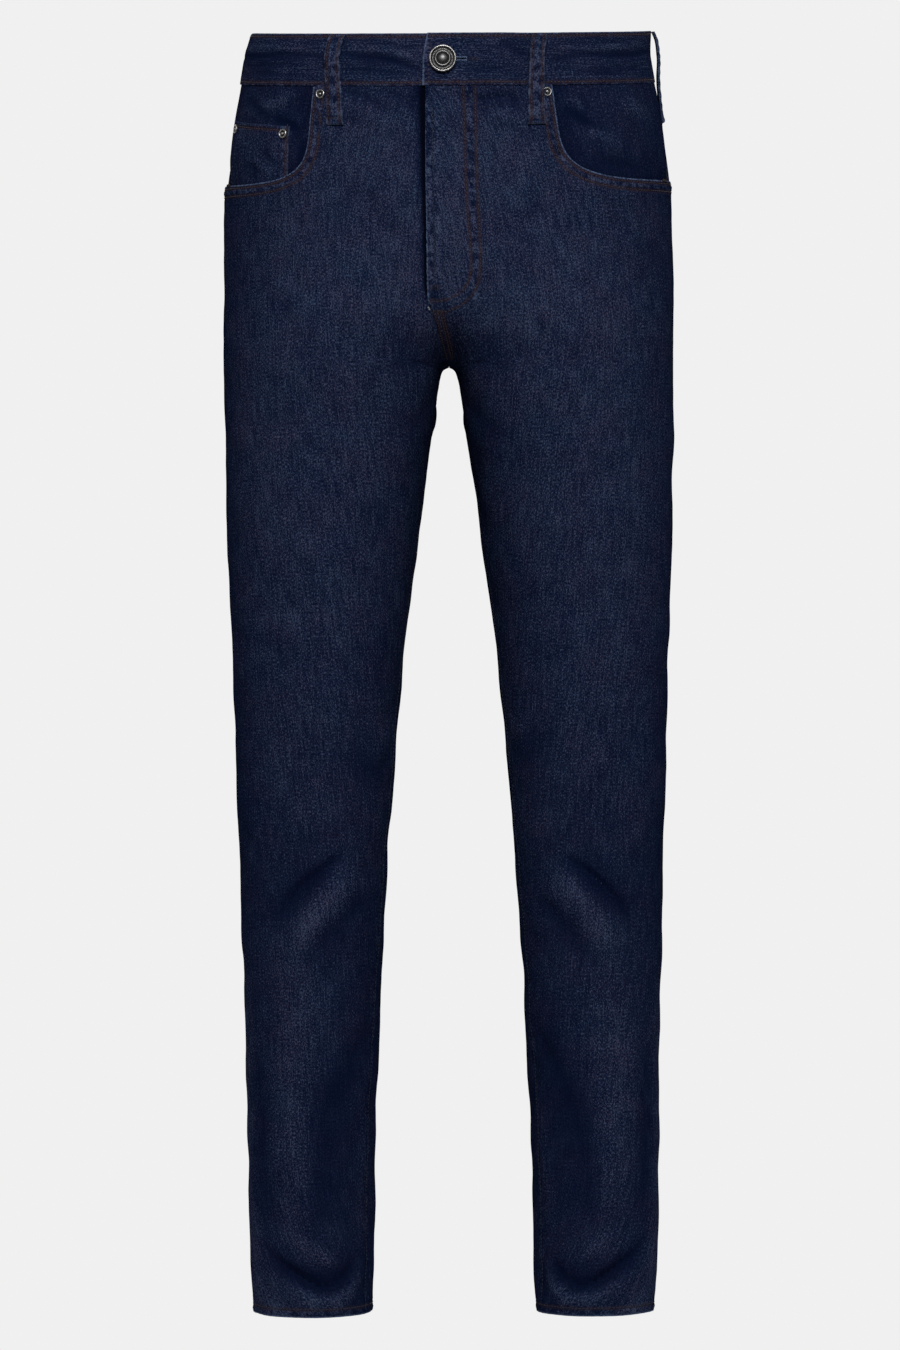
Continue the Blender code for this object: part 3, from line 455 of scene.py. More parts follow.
# Soft troughs and ridges: side, half width, height, and the line's (share, level) points
LEG_CREASE_LINES = (
    # front of the knees
    (-1, 3.6, -1.3, ((0.26, -646), (0.356, -659), (0.439, -672), (0.52, -684), (0.582, -697),
                     (0.625, -710))),
    (-1, 1.5, -0.7, ((0.33, -655), (0.439, -671.5), (0.52, -683.5), (0.582, -696.5), (0.61, -704))),
    (-1, 9, 0.9, ((0.20, -652), (0.309, -676), (0.404, -694), (0.457, -712), (0.49, -738))),
    (-1, 10, -1.2, ((0.15, -682), (0.279, -707), (0.395, -727), (0.46, -743))),
    (-1, 4, 0.5, ((0.33, -646), (0.42, -660), (0.53, -674))),
    (-1, 6, -0.4, ((0.30, -622), (0.42, -640), (0.55, -646))),
    (+1, 3.6, -1.3, ((0.27, -649), (0.366, -660), (0.45, -672), (0.535, -686), (0.60, -700),
                     (0.635, -714))),
    (+1, 1.5, -0.7, ((0.34, -656), (0.45, -671.5), (0.535, -685.5), (0.59, -697.5), (0.622, -708))),
    (+1, 9, 0.9, ((0.21, -655), (0.32, -678), (0.41, -697), (0.46, -716), (0.495, -741))),
    (+1, 10, -1.2, ((0.16, -686), (0.285, -709), (0.40, -731), (0.46, -747))),
    (+1, 4, 0.5, ((0.34, -648), (0.43, -661), (0.55, -678))),
    (+1, 6, -0.4, ((0.32, -616), (0.43, -634), (0.56, -641))),
    # down the calves
    (-1, 15, 0.8, ((0.53, -735), (0.496, -778), (0.544, -830), (0.521, -868), (0.495, -919),
                   (0.50, -952))),
    (-1, 11, -1.3, ((0.06, -785), (0.216, -830), (0.301, -855), (0.346, -893), (0.369, -931),
                    (0.45, -972))),
    (-1, 8, 0.6, ((0.09, -832), (0.085, -882), (0.10, -933), (0.11, -982))),
    (-1, 9, -0.7, ((0.80, -800), (0.74, -850), (0.72, -905), (0.76, -950))),
    (+1, 15, 0.8, ((0.54, -738), (0.505, -780), (0.55, -828), (0.53, -870), (0.505, -915),
                   (0.51, -950))),
    (+1, 11, -1.3, ((0.06, -790), (0.22, -833), (0.305, -860), (0.355, -896), (0.38, -930),
                    (0.45, -968))),
    (+1, 8, 0.6, ((0.09, -836), (0.09, -884), (0.105, -930), (0.11, -980))),
    (+1, 9, -0.7, ((0.79, -806), (0.75, -848), (0.73, -900), (0.77, -944))),
    # inner thighs
    (-1, 9, -0.9, ((0.30, -556), (0.16, -584), (0.05, -566))),
    (-1, 8, 0.6, ((0.24, -540), (0.13, -558), (0.03, -545))),
    (+1, 9, -0.8, ((0.27, -549), (0.15, -575), (0.05, -560))),
    (+1, 8, 0.6, ((0.22, -531), (0.12, -550), (0.03, -539))),
    # ankles
    (-1, 5, -1.7, ((0.85, -968), (0.705, -988), (0.598, -998), (0.457, -1006), (0.351, -1003),
                   (0.235, -994),
                   (0.18, -982))),
    (-1, 1.6, -0.6, ((0.72, -986.5), (0.598, -998.5), (0.457, -1006.5), (0.34, -1003))),
    (-1, 2.4, -0.5, ((0.60, -970), (0.50, -979), (0.40, -992), (0.30, -991))),
    (-1, 2.0, -0.4, ((0.82, -1004), (0.70, -1013), (0.58, -1017))),
    (-1, 2.0, 0.4, ((0.44, -996), (0.33, -996), (0.25, -986))),
    (-1, 6, 1.0, ((0.64, -958), (0.457, -977), (0.32, -990))),
    (-1, 5.5, 1.1, ((0.90, -998), (0.719, -1012), (0.546, -1018), (0.366, -1014), (0.193, -1001),
                    (0.125, -980))),
    (-1, 5, -0.6, ((0.98, -996), (0.93, -1012), (0.95, -1024))),
    (-1, 6, -0.6, ((0.05, -985), (0.06, -1008), (0.12, -1022))),
    (+1, 5, -1.7, ((0.84, -966), (0.70, -986), (0.59, -997), (0.455, -1005), (0.345, -1004),
                   (0.24, -996),
                   (0.18, -984))),
    (+1, 1.6, -0.6, ((0.71, -985), (0.59, -997.5), (0.455, -1005.5), (0.335, -1004))),
    (+1, 2.4, -0.5, ((0.59, -968), (0.51, -977), (0.41, -990), (0.31, -992))),
    (+1, 2.0, -0.4, ((0.80, -1005), (0.69, -1012), (0.57, -1017))),
    (+1, 2.0, 0.4, ((0.43, -995), (0.34, -997), (0.24, -988))),
    (+1, 6, 1.0, ((0.62, -960), (0.46, -975), (0.33, -987))),
    (+1, 5.5, 1.1, ((0.88, -1000), (0.71, -1011), (0.54, -1018), (0.36, -1015), (0.19, -1003),
                    (0.12, -984))),
    (+1, 5, -0.6, ((0.98, -992), (0.93, -1008), (0.95, -1022))),
    (+1, 6, -0.6, ((0.05, -982), (0.06, -1005), (0.11, -1021))),
    # hips and fly
    (-1, 9, -0.7, ((0.32, -100), (0.213, -133), (0.10, -152))),
    (+1, 8, -0.6, ((0.34, -116), (0.24, -140), (0.14, -158))),
    (-1, 3.6, -0.9, ((0.35, -23), (0.261, -30), (0.16, -45))),
    (-1, 3.6, -0.9, ((0.24, -23), (0.14, -31), (0.085, -50))),
    (-1, 4.5, 0.6, ((0.30, -36), (0.22, -46), (0.13, -62))),
    (-1, 3.0, -0.5, ((0.34, -40), (0.27, -52), (0.20, -60))),
    (+1, 3.6, -1.1, ((0.0, -24), (0.099, -31), (0.177, -29), (0.29, -33))),
    (+1, 3.4, -0.7, ((0.09, -39), (0.198, -36), (0.29, -39))),
    (+1, 3.4, 0.5, ((0.13, -44), (0.22, -46), (0.31, -50))),
    (+1, 3.0, -0.5, ((0.14, -52), (0.22, -56), (0.30, -66))),
    (-1, 9, -0.9, ((0.10, -228), (0.22, -250), (0.38, -262))),
    (+1, 9, -0.9, ((0.12, -232), (0.24, -252), (0.36, -260))),
    (-1, 10, -0.7, ((0.06, -272), (0.18, -300), (0.30, -312))),
    (+1, 10, -0.7, ((0.05, -276), (0.16, -298), (0.30, -318))),
    # under the seat
    (-1, 9, -2.6, ((1.93, -262), (1.80, -281), (1.62, -292), (1.48, -291))),
    (-1, 8, 1.8, ((1.92, -284), (1.78, -303), (1.60, -312))),
    (-1, 8, -1.6, ((1.90, -308), (1.76, -327), (1.62, -334))),
    (+1, 9, -2.4, ((1.94, -266), (1.82, -283), (1.66, -296), (1.52, -299))),
    (+1, 8, 1.7, ((1.91, -287), (1.79, -304), (1.63, -316))),
    (+1, 8, -1.7, ((1.91, -312), (1.79, -328), (1.65, -340))),
    (-1, 10, -1.2, ((1.70, -150), (1.84, -176), (1.95, -208))),
    (+1, 10, -1.1, ((1.68, -158), (1.82, -180), (1.94, -206))),
    # backs of the knees
    (-1, 8, -2.2, ((1.22, -640), (1.40, -651), (1.60, -655), (1.80, -646))),
    (-1, 7, 1.4, ((1.26, -660), (1.45, -672), (1.66, -672))),
    (-1, 8, -1.7, ((1.30, -682), (1.48, -692), (1.74, -688))),
    (-1, 7, 1.0, ((1.34, -704), (1.52, -711), (1.70, -704))),
    (-1, 8, -1.2, ((1.36, -726), (1.54, -731), (1.68, -722))),
    (-1, 7, -1.2, ((1.34, -580), (1.50, -574), (1.72, -586))),
    (+1, 8, -2.0, ((1.24, -646), (1.42, -655), (1.62, -652), (1.79, -641))),
    (+1, 7, 1.4, ((1.28, -666), (1.47, -674), (1.64, -669))),
    (+1, 8, -1.7, ((1.28, -688), (1.49, -695), (1.72, -684))),
    (+1, 7, 0.9, ((1.36, -708), (1.53, -713), (1.72, -700))),
    (+1, 8, -1.1, ((1.38, -729), (1.55, -733), (1.66, -727))),
    (+1, 7, -1.1, ((1.36, -574), (1.52, -570), (1.70, -578))),
    # backs of the ankles
    (-1, 6, -1.4, ((1.22, -968), (1.44, -984), (1.66, -986), (1.86, -970))),
    (-1, 5, 0.9, ((1.30, -992), (1.52, -1001), (1.76, -990))),
    (-1, 6, -0.9, ((1.40, -1008), (1.56, -1014), (1.72, -1009))),
    (+1, 6, -1.3, ((1.24, -972), (1.46, -986), (1.64, -984), (1.84, -974))),
    (+1, 5, 0.9, ((1.32, -995), (1.54, -1001), (1.74, -993))),
    (+1, 6, -0.8, ((1.38, -1010), (1.57, -1015), (1.70, -1006))),
)

# The waistband's soft creases along it
BAND_CREASE_LINES = (
    (-1, 2.5, -0.75, ((0.95, 1), (0.885, 2), (0.583, 5), (0.41, 3), (0.37, 1))),
    (-1, 2.2, -0.45, ((0.885, -2), (0.607, -3), (0.479, -1))),
    (-1, 3.2, 0.40, ((0.90, 8), (0.65, 10), (0.42, 9))),
    (-1, 2.7, -0.85, ((0.38, 6), (0.27, 4), (0.186, 1), (0.092, -8), (0.07, -12))),
    (-1, 2.7, 0.45, ((0.36, 11), (0.25, 10), (0.16, 7), (0.08, -1))),
    (-1, 2.5, -0.40, ((0.346, -9), (0.226, -7), (0.143, -11))),
    (-1, 2.3, -0.30, ((0.357, 15), (0.229, 13), (0.104, 8))),
    (-1, 2.4, -0.35, ((0.86, -12), (0.70, -10), (0.50, -12))),
    (+1, 2.5, -0.55, ((0.18, 16), (0.257, 8), (0.292, 5), (0.31, 3))),
    (+1, 2.5, -0.70, ((0.33, -4), (0.38, -1), (0.475, 4), (0.626, 4), (0.96, 6))),
    (+1, 3.2, 0.40, ((0.40, 9), (0.60, 10), (0.92, 12))),
    (+1, 2.3, -0.30, ((0.366, 14), (0.573, 14), (0.852, 15))),
    (+1, 2.5, -0.35, ((0.044, -7), (0.137, -6), (0.252, -9))),
    (+1, 2.5, -0.35, ((0.45, -8), (0.62, -10), (0.80, -9))),
    (+1, 3.2, -0.8, ((1.20, 1), (1.45, -2), (1.70, 2), (1.90, 0))),
    (-1, 3.2, -0.8, ((1.18, 2), (1.40, 4), (1.66, -1), (1.88, 1))),
)

# Gentle unevenness of the cloth: (wave length, height)
UNEVEN = ((95.0, 0.45), (52.0, 0.34), (27.0, 0.20), (15.0, 0.07))
UNEVEN_WAVES = 7

# Where the fronts are worn: level, the middle's share, how far it reaches and how strong it is
WORN = (
    (-1030, 0.50, 0.40, 0.14), (-985, 0.50, 0.30, 0.18), (-940, 0.505, 0.15, 0.27),
    (-868, 0.52, 0.20, 0.29),
    (-830, 0.52, 0.24, 0.28), (-771, 0.50, 0.30, 0.28), (-720, 0.47, 0.30, 0.26),
    (-660, 0.44, 0.30, 0.24),
    (-600, 0.50, 0.32, 0.34), (-512, 0.49, 0.33, 0.42), (-426, 0.50, 0.34, 0.50),
    (-335, 0.52, 0.36, 0.56),
    (-247, 0.49, 0.38, 0.54), (-150, 0.45, 0.40, 0.44), (-100, 0.43, 0.42, 0.36),
    (-20, 0.40, 0.42, 0.20),
)


def smooth_line(points, count=24):
    """Points along a smooth line through a few given ones."""
    points = np.array(points, float)
    runs = np.hypot(np.diff(points[:, 0]), np.diff(points[:, 1]))
    along = np.concatenate([[0], np.cumsum(runs)])
    steps = np.linspace(0, along[-1], count)
    return np.stack([Track(along, points[:, k])(steps) for k in (0, 1)], axis=-1)


def cloth_across(side, share, level):
    """Distance along the cloth from the centre front, round the side to the back."""
    front = front_length(side, level)
    return np.where(share <= 1, share * front, front + (share - 1) * back_length(side, level))


def nearest(line, across, level):
    """Distance from places to a line on the cloth, and how far along it the nearest point is."""
    best = np.full(across.shape, 1e9)
    where = np.zeros(across.shape)
    run = 0.0
    for (x0, z0), (x1, z1) in zip(line[:-1], line[1:]):
        length = math.hypot(x1 - x0, z1 - z0)
        ux = (x1 - x0) / length
        uz = (z1 - z0) / length
        t = np.clip((across - x0) * ux + (level - z0) * uz, 0, length)
        far = np.hypot(across - x0 - t * ux, level - z0 - t * uz)
        closer = far < best
        best = np.where(closer, far, best)
        where = np.where(closer, run + t, where)
        run += length
    return best, where / run


def near_line(line, across, level, reach):
    """Which places lie within reach of a line, their distances to it and places along it."""
    low = line.min(axis=0) - reach
    high = line.max(axis=0) + reach
    near = (across > low[0]) & (across < high[0]) & (level > low[1]) & (level < high[1])
    if not near.any():
        return near, np.zeros(0), np.zeros(0)
    return near, *nearest(line, across[near], level[near])


def gathers(rows, across, level):
    """Short ripples, each between two points: x0, z0, x1, z1, half width and height."""
    total = np.zeros(across.shape)
    for x0, z0, x1, z1, half_width, rise in rows:
        far, along = nearest([(x0, z0), (x1, z1)], across, level)
        total += rise * swell(far, 0, half_width) * arch(along)
    return total


CREASE_STRENGTH = 1.9


def crease_table(rows):
    """The creases, with their lines in distances along the cloth."""
    return [(side, half_width, height_there,
             smooth_line([(cloth_across(side, share, level), level) for share, level in line]))
            for side, half_width, height_there, line in rows]


def creases(table, side, share, level):
    """How far the creases move the cloth out or in. They taper to nothing at their ends."""
    across = cloth_across(side, share, level)
    total = np.zeros(across.shape)
    for own_side, half_width, height_there, line in table:
        if own_side == side:
            near, far, along = near_line(line, across, level, 3 * half_width)
            taper = arch(along) ** 0.75
            width = half_width * (0.75 + 0.35 * taper)
            width = width * (1 + 0.18 * np.sin(9 * along + line[0, 0]))
            sharpness = 1.5 if height_there < 0 else 1.9
            total[near] += height_there * taper * np.exp(-(far / width) ** sharpness)
    return CREASE_STRENGTH * total


def make_waves(rng):
    waves = []
    for wave_length, wave_height in UNEVEN:
        for _ in range(UNEVEN_WAVES):
            heading = rng.normal(size=3)
            heading /= np.linalg.norm(heading)
            waves.append((heading * 2 * math.pi / wave_length, rng.uniform(0, 2 * math.pi),
                          wave_height / math.sqrt(UNEVEN_WAVES)))
    return waves


WAVES = make_waves(np.random.default_rng(7))


def uneven(point):
    total = np.zeros(point.shape[:-1])
    for heading, start, wave_height in WAVES:
        total += wave_height * np.sin(point @ heading + start)
    return total


LEG_CREASES = crease_table(LEG_CREASE_LINES)
BAND_CREASES = crease_table(BAND_CREASE_LINES)
BAND_UNEVENNESS = 0.6

BAND_LEANS_ABOVE = 2.0       # the waistband's top leans a little to the wearer's left
BAND_LEAN = 3.4
PLACES_AT_ONCE = 20000


def place(side, share, level, lift, table=LEG_CREASES, unevenness=1.0):
    """Points lifted off the skin with its folds and creases, in millimetres, and the normals."""
    share, level, lift = (np.array(a, float) for a in np.broadcast_arrays(share, level, lift))
    shape = share.shape
    share, level, lift = share.ravel(), level.ravel(), lift.ravel()
    points = np.empty((len(share), 3))
    normals = np.empty((len(share), 3))
    for start in range(0, len(share), PLACES_AT_ONCE):
        cut = slice(start, start + PLACES_AT_ONCE)
        point, normal = skin(side, share[cut], height(side, share[cut], level[cut]))
        out = lift[cut] + folds(side, share[cut], level[cut])
        out = out + creases(table, side, share[cut], level[cut]) + unevenness * uneven(point)
        points[cut] = point + normal * out[:, None]
        above = np.clip((level[cut] - BAND_LEANS_ABOVE) / (WAIST_TOP - BAND_LEANS_ABOVE), 0, 1)
        points[cut, 0] += BAND_LEAN * above ** 1.2
        normals[cut] = normal
    return points.reshape(shape + (3,)), normals.reshape(shape + (3,))


def place_on_band(side, share, level, lift):
    return place(side, share, level, lift, BAND_CREASES, BAND_UNEVENNESS)


# Stitching
FAR = 40.0                   # no edge or row of stitches near
STITCH_PITCH = 3.1
STITCH_LENGTH = 2.5
STITCH_WIDTH = 0.9
STITCH_HEIGHT = 0.5
STITCH_UNEVENNESS = 0.12
THREAD_THICKNESS = 0.58
THREAD_END_THICKNESS = 0.5
TURNED_EDGE = 0.14           # a seam's edge on the inside
GROOVE_DEPTH = 0.42
GROOVE_HALF_WIDTH = 0.9
MOUTH_ROWS = (2.7, 9.3)
MOUTH_LINE_POINTS = 60
MOUTH_RUN = 230.0            # along a mouth's edge, for its puckers
MOUTHS_END = -125.0          # below both mouths
J_ROWS = (
    ((21.6, -20.6), (22.2, -60), (24.0, -125), (25.8, -168), (25.4, -183), (22.5, -196),
     (14.2, -206.3), (-0.6, -212.6), (-12.6, -215.6)),
    ((12.4, -20.6), (13.4, -60), (15.4, -125), (17.9, -163), (18.2, -178), (15.5, -191.5),
     (4.8, -201.5), (-15.2, -206.2)),
)
J_MIDDLE = ((-190, -168, -125, -60, -20), (20.5, 21.5, 19.5, 17.8, 17.0))   # levels, middles
HEM_ROW = 6.8
CENTRE_BACK_ROWS = (2.0, 7.6)
YOKE_ROWS = (1.9, 7.4)
FLY_WOBBLE = 0.6
BESIDE_FLY_DIP = 1.5
RISE_ROWS = (2.0, 6.6, 8.8)      # from the rise seam below the fly


def mouth_line(side, away=0.0):
    """The pocket mouth's edge as (distance from the centre front, level), or a line that runs
    a distance away from it, down and towards the centre."""
    turn = np.linspace(0, 1, MOUTH_LINE_POINTS) ** 2.2 * math.pi / 2
    turn = np.concatenate([turn[:-6], turn[-6] + (math.pi / 2 - turn[-6]) * np.linspace(0, 1, 6)])
    over, down = (part.clip(0) ** (2 / MOUTH_POWER[side]) for part in (np.cos(turn), np.sin(turn)))
    level = BAND_SEAM - MOUTH_DEPTH[side] * down
    stop = 1 - SEAM_GAP / 2 / front_length(side, level)
    share = stop - (stop - mouth_share(side)) * over
    line = np.stack([share * front_length(side, level), level], axis=-1)
    line = line[np.concatenate([[True], np.hypot(*np.diff(line, axis=0).T) > 0.05])]
    if away:
        slope = np.gradient(line, axis=0)
        slope /= np.linalg.norm(slope, axis=1, keepdims=True)
        line = line + np.stack([slope[:, 1], -slope[:, 0]], axis=-1) * away
        line = line[line[:, 1] < BAND_SEAM - 0.5]
    return line


def mouth_share(side):
    return float(front_share(side, MOUTH_FROM_CENTRE[side], BAND_SEAM))


def wobble(run):
    """The uneven edge that shrunken thread pulls a folded edge into."""
    return 0.6 * ripple(run, 8.3, 0.9 * np.sin(run / 13.0)) + 0.4 * ripple(run, 4.9, 1.3)


def groove(far, half_width=GROOVE_HALF_WIDTH, depth=GROOVE_DEPTH):
    return -depth * swell(far, 0, half_width)


def grooves(far, rows, half_width=GROOVE_HALF_WIDTH, depth=GROOVE_DEPTH):
    return sum(groove(far - row, half_width, depth) for row in rows)


def off_rows(far, rows):
    """Distance to the nearest of the rows of stitches that run along an edge."""
    return np.minimum.reduce([np.abs(far - row) for row in rows])


# ---------------------------------------------------------------------------------------------
# Makers

def shell(name, outer, inner, uv, facts, finishes, keep=None):
    """A closed thin piece of cloth between two grids of points in millimetres. The first finish
    is for its face and rims, the second for its inside."""
    rows, columns = outer.shape[:2]
    if keep is None:
        keep = np.ones((rows - 1, columns - 1), bool)
    number = np.arange(rows * columns).reshape(rows, columns)
    corner = np.stack([number[:-1, :-1], number[1:, :-1], number[1:, 1:], number[:-1, 1:]], axis=-1)
    face = corner[keep]
    i, j = np.nonzero(keep)
    rims = []
    for k, (down, over) in enumerate(((0, -1), (1, 0), (0, 1), (-1, 0))):
        open_here = ~np.pad(keep, 1)[i + 1 + down, j + 1 + over]
        first, second = face[open_here, k], face[open_here, (k + 1) % 4]
        rims.append(np.stack([second, first, first + rows * columns, second + rows * columns], axis=-1))
    faces = np.concatenate([face, *rims, face[:, ::-1] + rows * columns])
    kind = np.arange(len(faces)) >= len(faces) - len(face)
    points = np.concatenate([outer.reshape(-1, 3), inner.reshape(-1, 3)]) * MM
    a, b, c, d = (points[faces[:, k]] for k in range(4))
    volume = np.einsum("ij,ij->", a, np.cross(b, c) + np.cross(c, d))
    if volume < 0:
        faces = faces[:, ::-1]
    used = np.unique(faces)
    renumber = np.zeros(len(points), int)
    renumber[used] = np.arange(len(used))
    facts = {key: np.tile(np.broadcast_to(value, (rows, columns)).ravel(), 2)[used]
             for key, value in facts.items()}
    uv = np.tile(uv.reshape(-1, 2), (2, 1))[used] / 100
    return solid(name, points[used].tolist(), renumber[faces].tolist(), finishes, facts, kind, uv)


def solid(name, points, faces, finishes, facts, kind=None, uv=None, sharp=50):
    """A piece from points in metres and faces, with its cloth places and other facts."""
    mesh = bpy.data.meshes.new(name)
    mesh.from_pydata(points, [], faces)
    for finish in finishes:
        mesh.materials.append(finish)
    if kind is not None:
        mesh.polygons.foreach_set("material_index", np.asarray(kind, np.int32))
    if uv is not None:
        corner = np.empty(len(mesh.loops), np.int32)
        mesh.loops.foreach_get("vertex_index", corner)
        layer = mesh.uv_layers.new(name="cloth")
        layer.data.foreach_set("uv", np.asarray(uv, np.float32)[corner].ravel())
    for key, value in facts.items():
        layer = mesh.attributes.new(key, "FLOAT", "POINT")
        layer.data.foreach_set("value", np.asarray(value, np.float32))
    mesh.update()
    mesh.shade_smooth()
    mesh.set_sharp_from_angle(angle=math.radians(sharp))
    piece = add_object(name, mesh)
    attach(piece, "root")
    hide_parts(name)
    return piece


def add_object(name, data):
    made = bpy.data.objects.new(name, data)
    bpy.context.scene.collection.objects.link(made)
    return made


def cloth_uv(side, share, level):
    """The cloth's own places in millimetres: its warp runs straight down beside the outseam."""
    share, level = np.broadcast_arrays(share, level)
    length = np.where(share <= 1, front_length(side, level), back_length(side, level))
    return np.stack([side * ((share - 1) * length + 700), level], axis=-1)


def wear_and_painted_light(side, share, level):
    """How worn and pale the cloth is: most at the fly and down the middle of each thigh. Creases add wear on
    their ridges and painted shade in their troughs, and painted light brightens the outer sides of the lower
    legs.
    """
    levels, *values = zip(*WORN)
    middle, reach, strength = (np.interp(level, levels, value) for value in values)
    share, level = np.broadcast_arrays(np.asarray(share, float), level)
    relief = creases(LEG_CREASES, side, share, level) + 0.7 * folds(side, share, level)
    # Lighter on the creases' ridges, where the cloth wears, and darker in their troughs, which is painted
    # shade.
    ridge_wear_and_trough_shade = 0.20 * np.clip(relief, -3.0, 3.0)
    thigh = ridge_wear_and_trough_shade + strength * np.exp(-np.abs((share - middle) / reach) ** 2.6)
    fly = 0.48 * swell(share, 0, 0.34) * ease(-275, -200, level) * (1 - 0.5 * ease(-90, -20, level))
    from_edge = share * front_length(side, level) + FLY_EDGE
    panel = ease(4, 9, from_edge) * (1 - ease(26, 33, from_edge)) * ease(-212, -190, level)
    fly = fly + 0.17 * panel * (side > 0) * (share < 1)
    # Painted sheen on the outer side of the calf.
    painted_calf_sheen = 0.24 * np.exp(-((share - 0.92) / 0.10) ** 2 - ((level + 880) / 110) ** 2)
    seat = 0.72 * np.exp(-((share - 1.56) / 0.36) ** 2 - ((level + 205) / 110) ** 2)
    calf = 0.56 * swell(share, 1.5, 0.34) * (1 - ease(-330, -250, level))
    # Painted light on the outer rim of the lower leg, where its side turns away from the lamps.
    rim = 0.62 * swell(share, 0.97, 0.16) * (1 - ease(-820, -680, level))
    inner = 0.26 * swell(share, 0, 0.16) * (1 - ease(-275, -235, level)) * ease(-860, -560, level)
    return thigh + fly + painted_calf_sheen + seat + calf + rim + inner


def beside_fly(side, share, level):
    """The shade on the right front beside the fly's edge."""
    from_fly = np.clip(share * front_length(side, level) - FLY_EDGE, 0, None)
    reach = np.interp(level, (FLY_BOTTOM, -150, -90, -20), (3.0, 4.4, 6.6, 8.0))
    return 2.3 * swell(from_fly, 0, reach) * ease(FLY_BOTTOM - 6, FLY_BOTTOM + 10, level) * (side < 0)


def seam_row(past):
    """A row beside the front rise seam, on the left front."""
    level = np.arange(-213.0, -251.0, -4.0)
    return np.stack([past - rise_seam(level), level], axis=-1)


def least(*distances):
    """The least of some distances, and never more than FAR."""
    total = distances[0]
    for distance in distances[1:]:
        total = np.minimum(total, distance)
    return np.clip(total, 0, FAR)


def panel_steps(step):
    """Finer rows between the panels' own: their levels at the outseam and the inseam."""
    at_side, at_inseam = np.array(ROWS, float).T
    places = [0.0]
    for k in range(len(ROWS) - 1):
        run = max(at_side[k] - at_side[k + 1], at_inseam[k] - at_inseam[k + 1])
        count = max(1, math.ceil(run / step))
        places += [k + (n + 1) / count for n in range(count)]
    ends = np.arange(len(ROWS))
    return np.interp(places, ends, at_side), np.interp(places, ends, at_inseam)


def panel_grid(side, columns, length, inner_edge, sign, step):
    """Places of a panel below the join. Its rows bend down towards the fork, so that they cross
    the rise seam evenly."""
    at_side, at_inseam = panel_steps(step)
    columns = np.asarray(columns, float)[None, :]
    level = at_side[:, None] + (at_inseam - at_side)[:, None] * ease(0.1, 1, columns)
    wide, widest = WIDENS_BETWEEN
    kept = length(side, wide) / length(side, np.clip(level, widest, wide))
    inner = (1 - kept * OUTER_COLUMNS) / (1 - OUTER_COLUMNS)
    run = kept * columns + (inner - kept) * np.clip(columns - OUTER_COLUMNS, 0, None)
    start = side_edge(side, level, sign)
    stop = inner_edge(side, at_inseam)[:, None]
    return start + (stop - start) * run, level


def rise_seam(level):
    """How far past the centre the front rise seam lies."""
    levels, past = zip(*RISE_SEAM[::-1])
    return np.interp(level, levels, past)


def front_edge(side, level):
    """Share of a front's inner edge: the fly, then the rise seam, then the inseam."""
    level = np.asarray(level, float)
    seam = rise_seam(level)
    if side > 0:
        across = -seam + np.where(level < FLY_BOTTOM, SEAM_GAP / 2, 0)
        across = across + FLY_WOBBLE * (wobble(level) - 1) / 2 * ease(FLY_BOTTOM, FLY_BOTTOM + 10, level)
    else:
        underlap = FLY_UNDERLAP * ease(FLY_BOTTOM, FLY_UNDERLAP_WHOLE, level)
        across = np.where(level < FLY_BOTTOM, seam + SEAM_GAP / 2, seam - underlap)
    across = np.where(level <= FORK, SEAM_GAP / 2, across)
    return front_share(side, across, level)


def side_edge(side, level, sign):
    """Share of an edge at the outseam, on its front (-1) or back (+1) side."""
    length = front_length(side, level) if sign < 0 else back_length(side, level)
    return 1 + sign * SEAM_GAP / 2 / length


def past_mouth(side, share, level):
    """How far a place on a front lies outside its pocket's mouth."""
    across = np.clip((1 - share) / (1 - mouth_share(side)), 0, None)
    down = np.clip((BAND_SEAM - level) / MOUTH_DEPTH[side], 0, None)
    power = MOUTH_POWER[side]
    return ((across ** power + down ** power) ** (1 / power) - 1) * MOUTH_DEPTH[side]


def front_lift(side, share, level):
    """A front stands out along its pocket mouth, and the left one over the fly."""
    lift = MOUTH_LIFT * (1 - ease(0, MOUTH_EASE, past_mouth(side, share, level)))
    if side > 0:
        across = share * front_length(side, level)
        lift = lift + FLY_LIFT * (1 - ease(2, 26, across)) * ease(*FLY_SETTLES, level)
        raised = band_lift(side, share) - BAND_OUTER - INSIDE_BAND
        lift = np.maximum(lift, raised * ease(BAND_SEAM - 18, BAND_SEAM, level))
    return lift


def inseam_row():
    level = np.arange(-272.0, HEM + 3, -5.0)
    return np.stack([2.6 + 3.6 * (1 - ease(-900, -760, level)), level], axis=-1)


def fly_edge_row():
    level = np.arange(-40.0, -190.0, -4.0)
    return np.stack([-FLY_EDGE + 6.2 + 0.3 * np.sin(level / 9), level], axis=-1)


def j_middle(level):
    """The middle between the two rows of the fly's stitching."""
    return np.interp(level, *J_MIDDLE)


def front_rows(side):
    """Stitched lines on a front, as (distance from the centre front, level) points."""
    rows = [inseam_row(), *([fly_edge_row()] if side > 0 else [])]
    rows += [mouth_line(side, away) for away in MOUTH_ROWS]
    if side > 0:
        rows += [smooth_line(line, 60) for line in J_ROWS] + [seam_row(past) for past in RISE_ROWS]
    return rows


FRONT_ROWS = {side: front_rows(side) for side in (+1, -1)}
BLUE_ROWS = {+1: 2, -1: 1}   # the first rows of a front, sewn in dark blue thread


